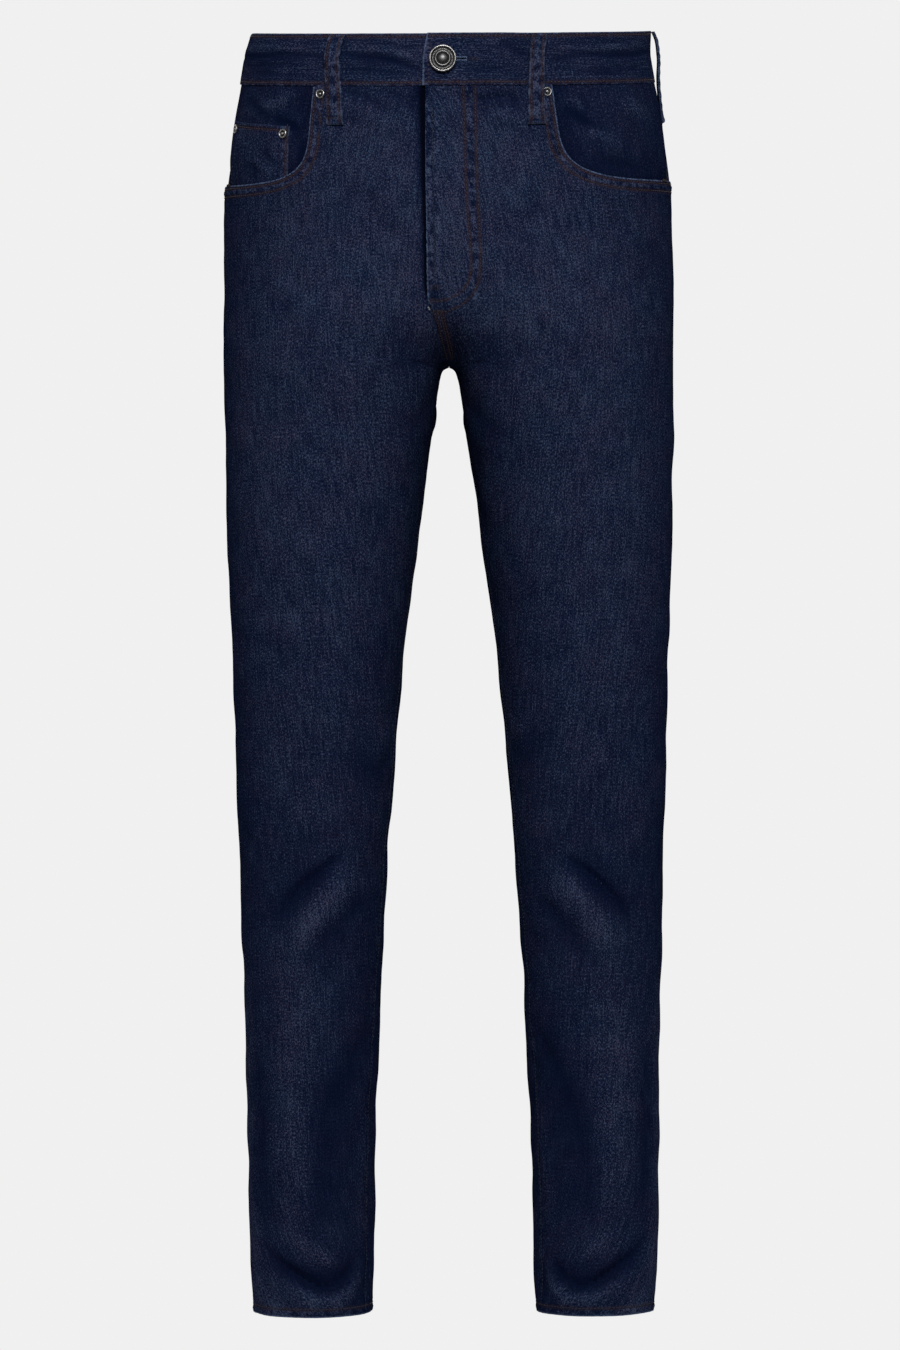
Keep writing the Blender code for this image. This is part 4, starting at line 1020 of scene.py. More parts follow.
def front_relief(side, share, level):
    """Grooves along the stitched rows of a front, the ridges between them and their puckers."""
    across = share * front_length(side, level)
    total = np.zeros(across.shape)
    for row in FRONT_ROWS[side]:
        near, far, _ = near_line(row, across, level, 6)
        total[near] += groove(far)
    line = mouth_line(side)
    near = (level > MOUTHS_END) & (across > line[:, 0].min() - 30)
    far, along = nearest(line, across[near], level[near])
    run = along * MOUTH_RUN
    between = swell(far, 6.0, 2.3)
    total[near] += between * (0.30 + 0.42 * ripple(run + 0.8 * far, 6.4, np.sin(run / 9)))
    total[near] += 0.24 * swell(far, 13, 4) * ripple(run, 7.6, 1.2 * np.sin(run / 11))
    total[near] -= 0.45 * (1 - ease(0, 1.1, far))
    if side < 0:
        beside = np.clip(across - FLY_EDGE, -6, None)
        dip = swell(beside, 0, 4.5) * ease(FLY_BOTTOM - 4, FLY_BOTTOM + 30, level)
        dip = dip * (1 - ease(BAND_SEAM - 12, BAND_SEAM - 1, level))
        total -= BESIDE_FLY_DIP * dip * (across > 0)
        return total
    near = (level > -216) & (across < 44)
    across, level = across[near], level[near]
    aside = across - j_middle(level)
    wave = ripple(level + 1.1 * aside, 7.4, 1.4 * np.sin(level / 17))
    fine = ease(-206, -186, level)
    total[near] += fine * swell(aside, 0, 3.2) * (0.25 + 0.50 * wave)
    total[near] += fine * 0.30 * swell(aside, 9.0, 4.2) * wave
    edge = across + FLY_EDGE
    roll = ease(FLY_BOTTOM - 8, FLY_BOTTOM + 4, level)
    wave = ripple(level, 8.3, 0.9 * np.sin(level / 13))
    total[near] -= roll * 0.5 * (1 - ease(0, 1.3, edge))
    total[near] += roll * 0.40 * swell(edge, 3.4, 2.6) * wave
    return total


def hem_relief(level):
    from_edge = level - HEM
    total = groove(from_edge - HEM_ROW)
    total = total + 0.35 * swell(from_edge, 3.2, 2.6)
    return total - 0.4 * (1 - ease(0, 1.2, from_edge))


def hem_waves(side, share, level):
    """A hem's gentle waves, and the puckers along its row of stitches."""
    run = cloth_across(side, share, level)
    near = np.exp(-np.clip(level - HEM, 0, None) / 14)
    pucker = 0.22 * ripple(run + 0.6 * (level - HEM), 9.2, 1.3 * np.sin(run / 14))
    return near * (0.5 * ripple(run, 41, side) + pucker)


def front_grid(side, columns, step):
    """Places of a front: round the pocket mouth above the join, straight rows below it."""
    join_share, join_level = panel_grid(side, columns, front_length, front_edge, -1, step)
    index = np.interp(columns, FRONT_COLUMNS[::-1], np.arange(len(FRONT_COLUMNS))[::-1])
    top_level = BAND_SEAM + TUCKED
    mouth = mouth_share(side)
    edge = float(front_edge(side, BAND_SEAM))
    seam = edge + (mouth - edge) * np.array([0, 0.15, 0.36, 0.68, 1.0])
    line = mouth_line(side)
    run = np.concatenate([[0], np.cumsum(np.hypot(*np.diff(line, axis=0).T))])
    width = front_length(side, BAND_SEAM) * (1 - mouth)
    over = np.concatenate([[1], MOUTH_COLUMNS])
    down = (1 - over ** MOUTH_POWER[side]) ** (1 / MOUTH_POWER[side])
    marks = np.stack([front_length(side, BAND_SEAM) - width * over,
                      BAND_SEAM - MOUTH_DEPTH[side] * down], axis=-1)
    mark_run = [run[np.argmin(np.hypot(*(line - mark).T))] for mark in marks]
    place_run = np.interp(index, np.arange(4, 14), mark_run)
    on_mouth = index > 4
    across = np.interp(place_run, run, line[:, 0])
    level = np.interp(place_run, run, line[:, 1])
    top_share = np.where(on_mouth, across / front_length(side, level),
                         np.interp(index, np.arange(5), seam))
    top = np.minimum(np.where(on_mouth, level, top_level), top_level)
    length = np.hypot((top_share - join_share[0]) * front_length(side, JOIN), top - join_level[0])
    near = np.array([0, 0.5, 1.1, 1.9, 2.7, 3.5, 4.6, 6.0, 7.4, 8.5, 9.3, 10.1, 11.2, 13, 15.5])[:, None]
    rest = np.arange(1, 26)[:, None] / 26
    steps = np.concatenate([near / length, near[-1] / length + (1 - near[-1] / length) * rest])
    share = top_share + (join_share[0] - top_share) * steps
    level = top + (join_level[0] - top) * steps
    return np.concatenate([share, join_share]), np.concatenate([level, join_level])


def panel_columns(close, width, spacing):
    """Columns of a panel from its inner edge: close ones first, the rest evenly spaced."""
    rest = np.linspace(close[-1], width, int((width - close[-1]) / spacing))[1:]
    columns = 1 - np.concatenate([close, rest]) / width
    columns[-1] = 0
    return columns


def meet_inside(inner, *ends):
    """The seams' turned edges nearly touch on the inside, at the first (0) or last (-1) column."""
    for end in ends:
        out = inner[:, end] - inner[:, 1 if end == 0 else -2]
        inner[:, end] += TURNED_EDGE * out / np.linalg.norm(out, axis=-1, keepdims=True)


def panel_inside(outer, normal, level, wear):
    """The inside of a front or back, whose hem is turned twice."""
    thick = CLOTH + (HEM_THICKNESS - CLOTH) * (1 - ease(HEM + HEM_DEPTH - 2, HEM + HEM_DEPTH, level))
    inner = outer - normal * (thick + np.clip(wear, -0.5, 0.5) * 0.5)[..., None]
    meet_inside(inner, -1, 0)
    return inner


def make_front(name, side, finishes, step):
    width = float(front_length(side, JOIN)) + (FLY_EDGE if side > 0 else 0)
    if side > 0:
        close = np.concatenate([[0, 0.5, 1.1, 1.8, 2.6, 3.4, 4.4, 5.6, 7], np.arange(8.4, 27, 2.2),
                                np.arange(28, 50, 1.15)])
    else:
        close = np.concatenate([[0, 0.6, 1.4, 2.2, 3.2, 4.6, 6.4], np.arange(9, 49, 3)])
    share, level = front_grid(side, panel_columns(close, width, 2.7), step)
    wear = front_relief(side, share, level) + hem_relief(level) + hem_waves(side, share, level)
    outer, normal = place(side, share, level, front_lift(side, share, level) + wear)
    across = share * front_length(side, level)
    mouth_far, _ = nearest(mouth_line(side), across, level)
    mouth_far = np.where(level > MOUTHS_END - 5, mouth_far, FAR)
    fly_far = np.where((level > FLY_BOTTOM - 4) & (side > 0), across + FLY_EDGE, FAR)
    seam_far, blue_far = np.full(across.shape, FAR), np.full(across.shape, FAR)
    for k, row in enumerate(FRONT_ROWS[side]):
        near, far, _ = near_line(row, across, level, 8)
        nearer = blue_far if k < BLUE_ROWS[side] else seam_far
        nearer[near] = np.minimum(nearer[near], far)
    rope = swell(mouth_far, 6, 3.2) + 0.8 * swell(level - HEM, 3, 3.5)
    rope = rope + 0.7 * swell(blue_far, 2.2, 1.5)
    # Painted shade beside the fly's edge and in the grooves along the blue rows.
    shade = beside_fly(side, share, level) + 0.5 * swell(blue_far, 0, 1.4)
    if side > 0:
        rope = rope + swell(across, j_middle(level), 4.0) * ease(-216, -200, level)
        rope = rope + 0.7 * swell(fly_far, 2.2, 2.4)
        # Darker between the J rows, and painted shade at the fly's foot.
        between = swell(across, j_middle(level), 4.6) * ease(-204, -190, level)
        foot = np.exp(-((fly_far - 5.5) / 4.5) ** 2 - ((level + 199) / 6.5) ** 2)
        shade = shade + 0.55 * between + 1.1 * foot
    facts = {"edge_mm": least(mouth_far, 1.05 * fly_far, level - HEM),
             "seam_mm": least(seam_far, np.abs(level - HEM - HEM_ROW)), "rope": rope,
             "wear_and_painted_light": wear_and_painted_light(side, share, level), "dark": shade}
    return shell(name, outer, panel_inside(outer, normal, level, wear), cloth_uv(side, share, level),
                 facts, finishes)


def yoke_level(share):
    return YOKE_AT_SIDE + (YOKE_AT_CENTRE - YOKE_AT_SIDE) * (share - 1)


def back_edge(side, level):
    """Share of a back's inner edge: the centre back seam, then the inseam."""
    return back_share(side, SEAM_GAP / 2, level)


def centre_back_relief(side, share, level):
    """The felled centre back seam: its grooves on the left, and its raised ridge."""
    from_centre = (2 - share) * back_length(side, level)
    total = np.zeros(from_centre.shape)
    if side > 0:
        total = total + grooves(from_centre, CENTRE_BACK_ROWS)
        ridge = swell(from_centre, 4.8, 2.4)
        total = total + ridge * (0.35 + 0.2 * ripple(level + from_centre, 7.1, np.sin(level / 12)))
    pucker = 0.14 * ripple(level, 8.6, 1.1 * np.sin(level / 15))
    return ease(FORK - 6, FORK + 6, level) * (total + pucker * np.exp(-from_centre / 11))


def centre_back_far(side, share, level):
    """Distances to the centre back seam and to its rows of stitches, above the fork."""
    from_centre = (2 - share) * back_length(side, level)
    rows = off_rows(from_centre, CENTRE_BACK_ROWS) if side > 0 else FAR
    return np.where(level > FORK, from_centre + 0.5, FAR), np.where(level > FORK, rows, FAR)


def make_back(name, side, finishes, step):
    close = np.array([0, 0.8, 1.4, 2.0, 2.8, 3.8, 4.8, 5.8, 6.8, 7.6, 8.4, 9.4, 11, 13.4, 16.4, 19.4])
    columns = panel_columns(close, float(back_length(side, JOIN)), 3.0)
    share, level = panel_grid(side, columns, back_length, back_edge, +1, step)
    top = yoke_level(share[0]) - SEAM_GAP / 2
    steps = np.concatenate([[0, 0.012, 0.03, 0.05, 0.075], np.linspace(0.1, 1, 26)[:-1]])[:, None]
    share = np.concatenate([np.repeat(share[:1], len(steps), axis=0), share])
    level = np.concatenate([top + (JOIN - top) * steps, level])
    wear = hem_relief(level) + hem_waves(side, share, level) + centre_back_relief(side, share, level)
    wear = wear - 0.30 * swell(yoke_level(share) - level, 0, 1.2)
    outer, normal = place(side, share, level, wear)
    inner = panel_inside(outer, normal, level, wear)
    meet_inside(inner.swapaxes(0, 1), 0)
    edge_far, row_far = centre_back_far(side, share, level)
    facts = {"edge_mm": least(level - HEM, edge_far),
             "seam_mm": least(np.abs(level - HEM - HEM_ROW), row_far),
             "wear_and_painted_light": wear_and_painted_light(side, share, level), "dark": 0.0}
    return shell(name, outer, inner, cloth_uv(side, share, level), facts, finishes)


def make_yoke(name, side, finishes):
    start = float(side_edge(side, BAND_SEAM, +1))
    length = float(back_length(side, BAND_SEAM))
    near = np.array([0, 0.8, 1.4, 2.0, 2.8, 3.8, 4.8, 5.8, 6.8, 7.6, 8.4, 9.4, 11, 13])
    share = np.concatenate([2 - (near + SEAM_GAP / 2) / length,
                            np.linspace(2 - 13.2 / length, start, 74)[1:]])[::-1]
    bottom = yoke_level(share) + SEAM_GAP / 2
    tall = BAND_SEAM + TUCKED - bottom
    near = np.array([0, 0.5, 1.2, 1.9, 2.7, 3.6, 4.6, 5.6, 6.5, 7.3, 8.1, 9.0, 10.5])
    steps = np.concatenate([1 - near[:, None] / tall,
                            np.linspace(1 - 10.5 / tall, np.zeros(len(share)), 14)[1:]])[::-1]
    level = BAND_SEAM + TUCKED - tall * steps
    share = np.repeat(share[None, :], len(level), axis=0)
    from_seam = level - bottom
    across = cloth_across(side, share, level)
    pucker = ripple(across + from_seam, 7.3, 1.2 * np.sin(across / 16))
    wear = grooves(from_seam, YOKE_ROWS) + swell(from_seam, 4.6, 2.3) * (0.35 + 0.2 * pucker)
    wear = wear + centre_back_relief(side, share, level) + 0.35 * (1 - ease(8, 14, from_seam))
    wear = wear - 0.35 * (1 - ease(0, 0.9, from_seam))
    outer, _ = place(side, share, level, wear)
    inner, _ = place(side, share, level, -CLOTH)
    meet_inside(inner, -1, 0)
    meet_inside(inner.swapaxes(0, 1), -1, 0)
    edge_far, row_far = centre_back_far(side, share, level)
    facts = {"edge_mm": least(from_seam, edge_far),
             "seam_mm": least(off_rows(from_seam, YOKE_ROWS), row_far),
             "wear_and_painted_light": wear_and_painted_light(side, share, level), "dark": 0.0}
    return shell(name, outer, inner, cloth_uv(side, share, level), facts, finishes)


def make_facing(name, side, finishes):
    start = float(front_share(side, MOUTH_FROM_CENTRE[side] - FACING_UNDER, BAND_SEAM))
    stop = float(side_edge(side, BAND_SEAM, -1)) - FACING_SHORT / float(front_length(side, BAND_SEAM))
    share, level = np.meshgrid(np.linspace(start, stop, 56),
                               np.linspace(BAND_SEAM + TUCKED, FACING_BOTTOM, 42))
    top, normal = place(side, share, level, facing_lift(side, share, level))
    in_mouth = np.clip(-past_mouth(side, share, level), 0, None)
    folded = gathers(FACING_RIPPLES[side], share * front_length(side, level), level)
    # The ripples are painted lighter on their ridges and with painted shade in their troughs, and painted
    # shade falls under the front's edge at the mouth.
    facts = {"edge_mm": FAR, "seam_mm": FAR, "rope": 0.0,
             "wear_and_painted_light": 0.10 + 0.62 * np.clip(folded, -1.3, 1.3), "dark": 0.25 + 0.85 * swell(in_mouth, 0, 7)}
    return shell(name, top, top - normal * CLOTH, cloth_uv(side, share, level), facts, finishes)


FACING_RIPPLES = {
    +1: ((88, -26, 112, -40, 3.4, 0.9), (92, -38, 126, -58, 4.2, -1.2), (104, -54, 150, -74, 5, 0.8),
         (136, -30, 190, -50, 7, 0.7), (116, -82, 178, -92, 6, -0.8)),
    -1: ((122, -26, 166, -40, 4, 0.9), (116, -58, 150, -46, 3.6, -1.5), (150, -46, 186, -30, 4.2, -1.2),
         (112, -66, 128, -50, 3, 0.8), (120, -66, 126, -92, 4, -0.9), (150, -34, 205, -46, 6, 0.6)),
}


def facing_lift(side, share, level):
    """A facing fills its mouth: it rises away from the front's edge, and up to the band seam."""
    past = past_mouth(side, share, level)
    under = ease(0, FACING_EASE, past)
    rise = FACING_RISE[side] * ease(0, FACING_RISES_WITHIN, -past)
    at_seam = (FACING_AT_SEAM - FACING_OUTER[side]) * ease(FACING_AT_SEAM_FROM, BAND_SEAM, level)
    lift = FACING_OUTER[side] + np.maximum(rise, at_seam) * (1 - under) - FACING_SINKS * under
    folded = gathers(FACING_RIPPLES[side], share * front_length(side, level), level)
    return lift + folded * (1 - ease(0, 4, past))


COIN_RIPPLES = ((146, -99, 172, -82, 3.2, 0.8), (144, -88, 164, -72, 3.0, -0.7),
                (150, -104, 190, -100, 3.5, 0.7), (160, -92, 188, -86, 3.5, -0.6),
                (176, -70, 200, -64, 4, 0.5))
COIN_ROW = 4.0
COIN_SIDE_ROW = 2.0
COIN_GROOVE = (0.8, 0.3)      # half width and depth


def coin_top(share):
    return np.interp(share, COIN_SHARES, COIN_TOP)


def make_coin_pocket(name, side, finishes):
    share = np.linspace(*COIN_SHARES, 52)
    length = coin_top(share) - COIN_BOTTOM
    near = np.array([0, 0.5, 1.1, 1.9, 2.7, 3.5, 4.3, 5.1, 6.2])
    steps = np.concatenate([near[:, None] / length, np.linspace(6.2 / length, np.ones(52), 30)[1:]])
    level = coin_top(share) - length * steps
    share = np.repeat(share[None, :], len(level), axis=0)
    across = share * front_length(side, level)
    from_top = coin_top(share) - level
    from_inner = across - COIN_SHARES[0] * front_length(side, level)
    from_outer = COIN_SHARES[1] * front_length(side, level) - across
    wear = groove(from_top - COIN_ROW, *COIN_GROOVE) + 0.3 * swell(from_top, 1.6, 1.2)
    wear = wear + groove(from_inner - COIN_SIDE_ROW, *COIN_GROOVE)
    wear = wear + groove(from_outer - COIN_SIDE_ROW, *COIN_GROOVE)
    pucker = 0.16 * ripple(level, 6.3, np.sin(level / 9)) * swell(from_inner, 3.5, 3)
    edge = np.minimum(np.minimum(from_top, from_inner), from_outer)
    wear = wear + gathers(COIN_RIPPLES, across, level) + pucker - 0.35 * (1 - ease(0, 0.9, edge))
    seat = facing_lift(side, share, level) + COIN_GAP
    outer, normal = place(side, share, level, seat + COIN_THICKNESS + wear)
    in_mouth = np.clip(-past_mouth(side, share, level), 0, None)
    # Painted light on the raised relief, painted shade in its grooves, and painted shade under the front's
    # edge at the mouth.
    facts = {"edge_mm": least(from_top + 1.0, from_inner + 0.3),
             "seam_mm": least(np.abs(from_top - COIN_ROW), np.abs(from_inner - COIN_SIDE_ROW),
                              np.abs(from_outer - COIN_SIDE_ROW)),
             "wear_and_painted_light": 0.26 + 0.5 * np.clip(wear, -0.8, 0.8), "dark": 0.6 * swell(in_mouth, 0, 6),
             "rope": swell(from_inner, 3.5, 3)}
    return shell(name, outer, outer - normal * COIN_THICKNESS, cloth_uv(side, share, level),
                 facts, finishes)


def pocket_spot(side, across, down):
    """A place on a back pocket: across from -1 to 1 and down from 0 to 1."""
    half = (POCKET_TOP_WIDTH + (POCKET_BOTTOM_WIDTH - POCKET_TOP_WIDTH) * down) / 2
    drop = down * (POCKET_SIDE_HEIGHT + POCKET_POINT * (1 - np.abs(across)) * down)
    from_side = back_length(side, JOIN) - POCKET_CENTRE - across * half - POCKET_LEAN * drop
    top_from_side = back_length(side, JOIN) - POCKET_CENTRE - across * POCKET_TOP_WIDTH / 2
    top = yoke_level(1 + top_from_side / back_length(side, JOIN)) - POCKET_BELOW_YOKE
    level = top - drop
    share = 1 + from_side / back_length(side, np.clip(level, WIDENS_BETWEEN[1], None))
    return share, level, half


def pocket_bulge(across, down):
    return 0.8 * np.exp(-((across / 0.6) ** 2 + ((down - 0.45) / 0.33) ** 2))


POCKET_ROWS = (2.2, 7.6)
POCKET_HEM = (11.0, 13.6)


def make_back_pocket(name, side, finishes):
    edge = np.array([0, 0.5, 1.2, 2.0, 2.9, 3.9, 5.0, 6.2, 7.1, 8.0, 9.2, 11])
    half_width = POCKET_TOP_WIDTH / 2
    across = np.concatenate([edge / half_width - 1,
                             np.linspace(11 / half_width - 1, 1 - 11 / half_width, 50)[1:-1],
                             1 - edge[::-1] / half_width])[None, :]
    at_hem = np.array([0, 0.5, 1.2, 3, 5, 7, 9, 10.3, 11, 11.7, 12.9, 13.6, 14.3, 16])
    down = np.concatenate([at_hem / POCKET_TALL,
                           np.linspace(16 / POCKET_TALL, 1 - 11 / POCKET_TALL, 44)[1:-1],
                           1 - edge[::-1] / POCKET_TALL])[:, None]
    share, level, half = pocket_spot(side, across, down)
    from_side = (1 - np.abs(across)) * half
    from_bottom = (1 - down) * POCKET_TALL
    from_top = down * POCKET_TALL
    edge_far = np.minimum(from_side, from_bottom)
    round_it = np.where(from_side < from_bottom, level, share * 200)
    pucker = ripple(round_it + edge_far, 7.0, 1.2 * np.sin(round_it / 13))
    wear = grooves(edge_far, POCKET_ROWS) + swell(edge_far, 4.9, 2.2) * (0.3 + 0.22 * pucker)
    wear = wear + 0.14 * swell(edge_far, 11, 3.5) * pucker
    wear = wear + grooves(from_top, POCKET_HEM) * (from_side > 7)
    wear = wear - 0.35 * (1 - ease(0, 1.1, np.minimum(edge_far, from_top)))
    wear = wear + pocket_bulge(across, down)
    outer, normal = place(side, share, level, POCKET_SEATED + POCKET_THICKNESS + wear)
    facts = {"edge_mm": least(edge_far, from_top),
             "seam_mm": least(off_rows(edge_far, POCKET_ROWS), off_rows(from_top, POCKET_HEM)),
             "rope": swell(edge_far, 4.9, 2.8), "wear_and_painted_light": wear_and_painted_light(side, share, level) + 0.12, "dark": 0.0}
    return shell(name, outer, outer - normal * (POCKET_THICKNESS + 0.3), cloth_uv(side, share, level),
                 facts, finishes)


BAND_TOP_ROW = 2.6
BAND_BOTTOM_ROW = 2.4
BAND_GROOVE = (0.9, 0.25)


def band_lift(side, share):
    across = share * front_length(side, 0.0)
    raised = BAND_LAP_LIFT * (1 - ease(39, 67, across)) if side > 0 else 0 * across
    return BAND_OUTER + raised


def band_crest(side, share):
    """The band's top edge, which dips at the wearer's right side."""
    return WAIST_TOP - (3.2 * swell(share, 1.0, 0.10) if side < 0 else 0 * share)


def slit(across):
    """Half the height of the buttonhole's opening, which has a round eye."""
    return BUTTONHOLE_HALF + 1.5 * swell(across, -4.5, 2.6)


def make_waistband(name, finishes):
    """One band from the lap at the front, round by the wearer's left, to the underlap."""
    lap = np.concatenate([-FLY_EDGE + np.array([0, 0.5, 1.1, 1.8, 2.6, 3.4, 4.4, 5.6, 7.0, 8.6]),
                          np.arange(BUTTONHOLE[0], BUTTONHOLE[1] + 0.1, 1.0), np.arange(16.5, 70, 1.5),
                          np.linspace(70, BAND_FRONT, 70)])
    left = np.concatenate([lap / BAND_FRONT, np.linspace(1, 2, 110)[1:]])
    under = np.array([-8, -16, -24, -BAND_UNDERLAP])
    right = np.concatenate([np.linspace(2, 1, 96)[1:], np.linspace(1, 0, 104)[1:],
                            front_share(-1, under, 0.0)])
    top = np.array([0, 0.4, 1.0, 1.8, 2.6, 3.4, 4.6, 6.4, 8.4, 10.6, 12.8, 15, 17, 18.6])
    bottom = np.array([0, 0.6, 1.6, 2.4, 3.2, 4.4, 6, 8, 10, 12, 14, 16, 17.6, 18.8])
    bottom = BAND_SEAM + SEAM_GAP / 2 + bottom
    halves = []
    for side, shares in ((+1, left), (-1, right)):
        across = shares * front_length(side, 0.0)
        gap = slit(across) if side > 0 else BUTTONHOLE_HALF
        crest = band_crest(side, shares)
        over = crest - top[:, None] * (crest - BUTTON_LEVEL - gap) / 18.6
        lower = bottom[0] + (bottom - bottom[0])[:, None] * (BUTTON_LEVEL - gap - bottom[0]) / 18.65
        level = np.concatenate([over, (lower + 0 * over)[::-1]])
        share = np.repeat(shares[None, :], len(level), axis=0)
        run = cloth_across(side, share, 0.0)
        from_top = crest - level
        from_bottom = level - BAND_SEAM
        from_lap = run + FLY_EDGE if side > 0 else np.full(run.shape, FAR)
        wear = groove(from_top - BAND_TOP_ROW, *BAND_GROOVE)
        wear = wear + groove(from_bottom - BAND_BOTTOM_ROW, *BAND_GROOVE)
        wear = wear - 0.5 * (1 - ease(0, 1.5, from_top)) - 0.3 * (1 - ease(0, 1.2, from_bottom))
        wear = wear + 0.20 * ripple(run, 8.8, 1.2 * np.sin(run / 17)) * np.exp(-from_bottom / 7)
        wear = wear + 0.14 * ripple(run, 9.7, 1.5 * np.sin(run / 19)) * np.exp(-from_top / 6)
        wear = wear - 0.45 * (1 - ease(0, 1.3, from_lap))
        outer, normal = place_on_band(side, share, level, band_lift(side, share) + wear)
        thick = BAND_OUTER - BAND_INNER - 0.9 * (1 - ease(0, 1.6, from_top))
        # The creases are also painted: lighter on their ridges and with painted shade in their troughs.
        folded = np.clip(creases(BAND_CREASES, side, share, level), -1.5, 1.5)
        halves.append({
            "outer": outer,
            "inner": outer - normal * (thick + np.clip(wear, -0.5, 0.5) * 0.4)[..., None],
            "uv": np.stack([level, side * run], axis=-1), "edge_mm": least(from_top + 0.5, from_lap),
            "seam_mm": least(np.abs(from_top - BAND_TOP_ROW), np.abs(from_bottom - BAND_BOTTOM_ROW)),
            "wear_and_painted_light": 0.16 + 0.10 * swell(share, 0, 0.3) + 0.62 * folded,
            "rope": (0.7 * swell(from_top, 0, 3.6) + 0.8 * swell(from_bottom, 0, 3.6)
                     + 1.2 * swell(from_lap, 0, 2.6))})
    facts = {key: np.concatenate([half[key] for half in halves], axis=1) for key in halves[0]}
    outer, inner, uv = (facts.pop(key) for key in ("outer", "inner", "uv"))
    facts["dark"] = 0.12
    keep = np.ones((outer.shape[0] - 1, outer.shape[1] - 1), bool)
    hole = (lap[:-1] > BUTTONHOLE[0] - 0.5) & (lap[1:] < BUTTONHOLE[1] + 0.5)
    keep[len(top) - 1, :len(lap) - 1][hole] = False
    return shell(name, outer, inner, uv, facts, finishes, keep)


LOOP_LEVELS, standoffs = zip(*LOOP_PATH)
LOOP_STANDOFF = Track(LOOP_LEVELS, standoffs)
LOOP_ROWS = 4.3
LOOP_GROOVE = (0.7, 0.28)


def loop_spot(side, share, lean, across, level):
    """A place on a belt loop and the lift of its inside."""
    length = front_length(side, BAND_SEAM)
    shares = share + (across + lean * level) / length
    seat = LOOP_STANDOFF(level)
    seat = seat + (front_lift(side, shares, level) if share < 1 else 0 * shares)
    return shares, seat


def make_belt_loop(finishes, name, side, share, lean):
    half = LOOP_WIDTH / 2
    out = np.array([0.5, 0.6, 0.66, 0.72, 0.8, 0.88, 0.95, 1])
    over = np.concatenate([-out[::-1], np.linspace(-0.4, 0.4, 9), out])
    level = np.linspace(LOOP_LEVELS[0], LOOP_LEVELS[-1], 66)[:, None] + 0 * over[None, :]
    waist = 1 - 0.05 * swell(level, -5, 16) + 0.07 * (1 - ease(-53, -44, level))
    ruffle = 0.22 * np.sin(level / 2.6 + 1.3 * np.sin(level / 7) + 3 * share) * np.abs(over) ** 3
    ruffle = ruffle + 0.5 * np.sin(level / 17 + 5 * share)
    across = over * half * waist + ruffle
    shares, seat = loop_spot(side, share, lean, across, level)
    from_edge = (1 - np.abs(over)) * half
    row_far = np.abs(np.abs(over) * half - LOOP_ROWS)
    wear = groove(row_far, *LOOP_GROOVE)
    wear = wear + 0.35 * swell(np.abs(over) * half, 5.5, 0.8)
    wear = wear + 0.3 * swell(over * half, 0, 2.6)
    pucker = ripple(level, 7.6, 1.5 * np.sin(level / 8) + side)
    wear = wear + 0.20 * pucker * swell(np.abs(over), 0.8, 0.3)
    wear = wear - 0.5 * (1 - ease(0, 0.8, from_edge)) + 0.7 * swell(level, -50.2, 2.0)
    wear = wear - 0.35 * swell(level, -46.3, 1.6) - 0.5 * (1 - ease(0, 1.0, level - LOOP_LEVELS[-1]))
    outer, _ = place_on_band(side, shares, level, seat + LOOP_THICKNESS + wear)
    inner, _ = place_on_band(side, shares, level, seat)
    # Painted light on the loop's raised relief and puckers, and painted shade in its grooves.
    facts = {"edge_mm": least(from_edge, level - LOOP_LEVELS[-1]), "seam_mm": row_far,
             "rope": 0.9 + 1.2 * swell(from_edge, 1.6, 1.6),
             "wear_and_painted_light": 0.34 + 0.50 * np.clip(wear + 0.3 * pucker, -1, 1), "dark": 0.05}
    return shell(name, outer, inner, np.stack([across + 70 * share, level], axis=-1), facts, finishes)


def make_strip(name, levels, spans, lifts, finishes, count):
    """A strip down the centre front: a (from, to) span across for each level."""
    levels = np.array(levels, float)
    level = np.linspace(levels[0], levels[-1], count[1])
    start, stop = (np.interp(-level, -levels, ends)[:, None] for ends in np.array(spans, float).T)
    across = start + (stop - start) * np.linspace(0, 1, count[0])[None, :]
    level = np.repeat(level[:, None], count[0], axis=1)
    share = front_share(+1, across, level)
    outer, inner = (place(+1, share, level, lift)[0] for lift in lifts)
    edge = np.minimum(across - start, stop - across)
    facts = {"edge_mm": least(edge + 4), "seam_mm": np.abs(edge - 2.5), "wear_and_painted_light": 0.0, "dark": 0.2}
    return shell(name, outer, inner, np.stack([across, level], axis=-1), facts, finishes)


def grow_tree(name, numbers, nodes, links):
    """A tree that grows shapes along a line, from its nodes with their settings and inputs and
    the links between them: node and output to node and input."""
    tree = bpy.data.node_groups.new(name, "GeometryNodeTree")
    for given, kind in (("Line", "Geometry"), *((number, "Float") for number in numbers),
                        ("Finish", "Material")):
        tree.interface.new_socket(given, in_out="INPUT", socket_type="NodeSocket" + kind)
    tree.interface.new_socket("Grown", in_out="OUTPUT", socket_type="NodeSocketGeometry")
    nodes = {"given": ("NodeGroupInput", {}, {}), "curve": ("GeometryNodeMeshToCurve", {}, {}),
             **nodes, "real": ("GeometryNodeRealizeInstances", {}, {}),
             "finish": ("GeometryNodeSetMaterial", {}, {}), "result": ("NodeGroupOutput", {}, {})}
    made = {}
    for key, (kind, settings, inputs) in nodes.items():
        made[key] = tree.nodes.new(kind)
        for setting, value in settings.items():
            setattr(made[key], setting, value)
        for socket, value in inputs.items():
            made[key].inputs[socket].default_value = value
    for start, output, end, socket in (("given", "Line", "curve", "Mesh"), *links,
                                       ("real", "Geometry", "finish", "Geometry"),
                                       ("given", "Finish", "finish", "Material"),
                                       ("finish", "Geometry", "result", "Grown")):
        tree.links.new(made[start].outputs[output], made[end].inputs[socket])
    return tree


# ---------------------------------------------------------------------------------------------
# Stitches

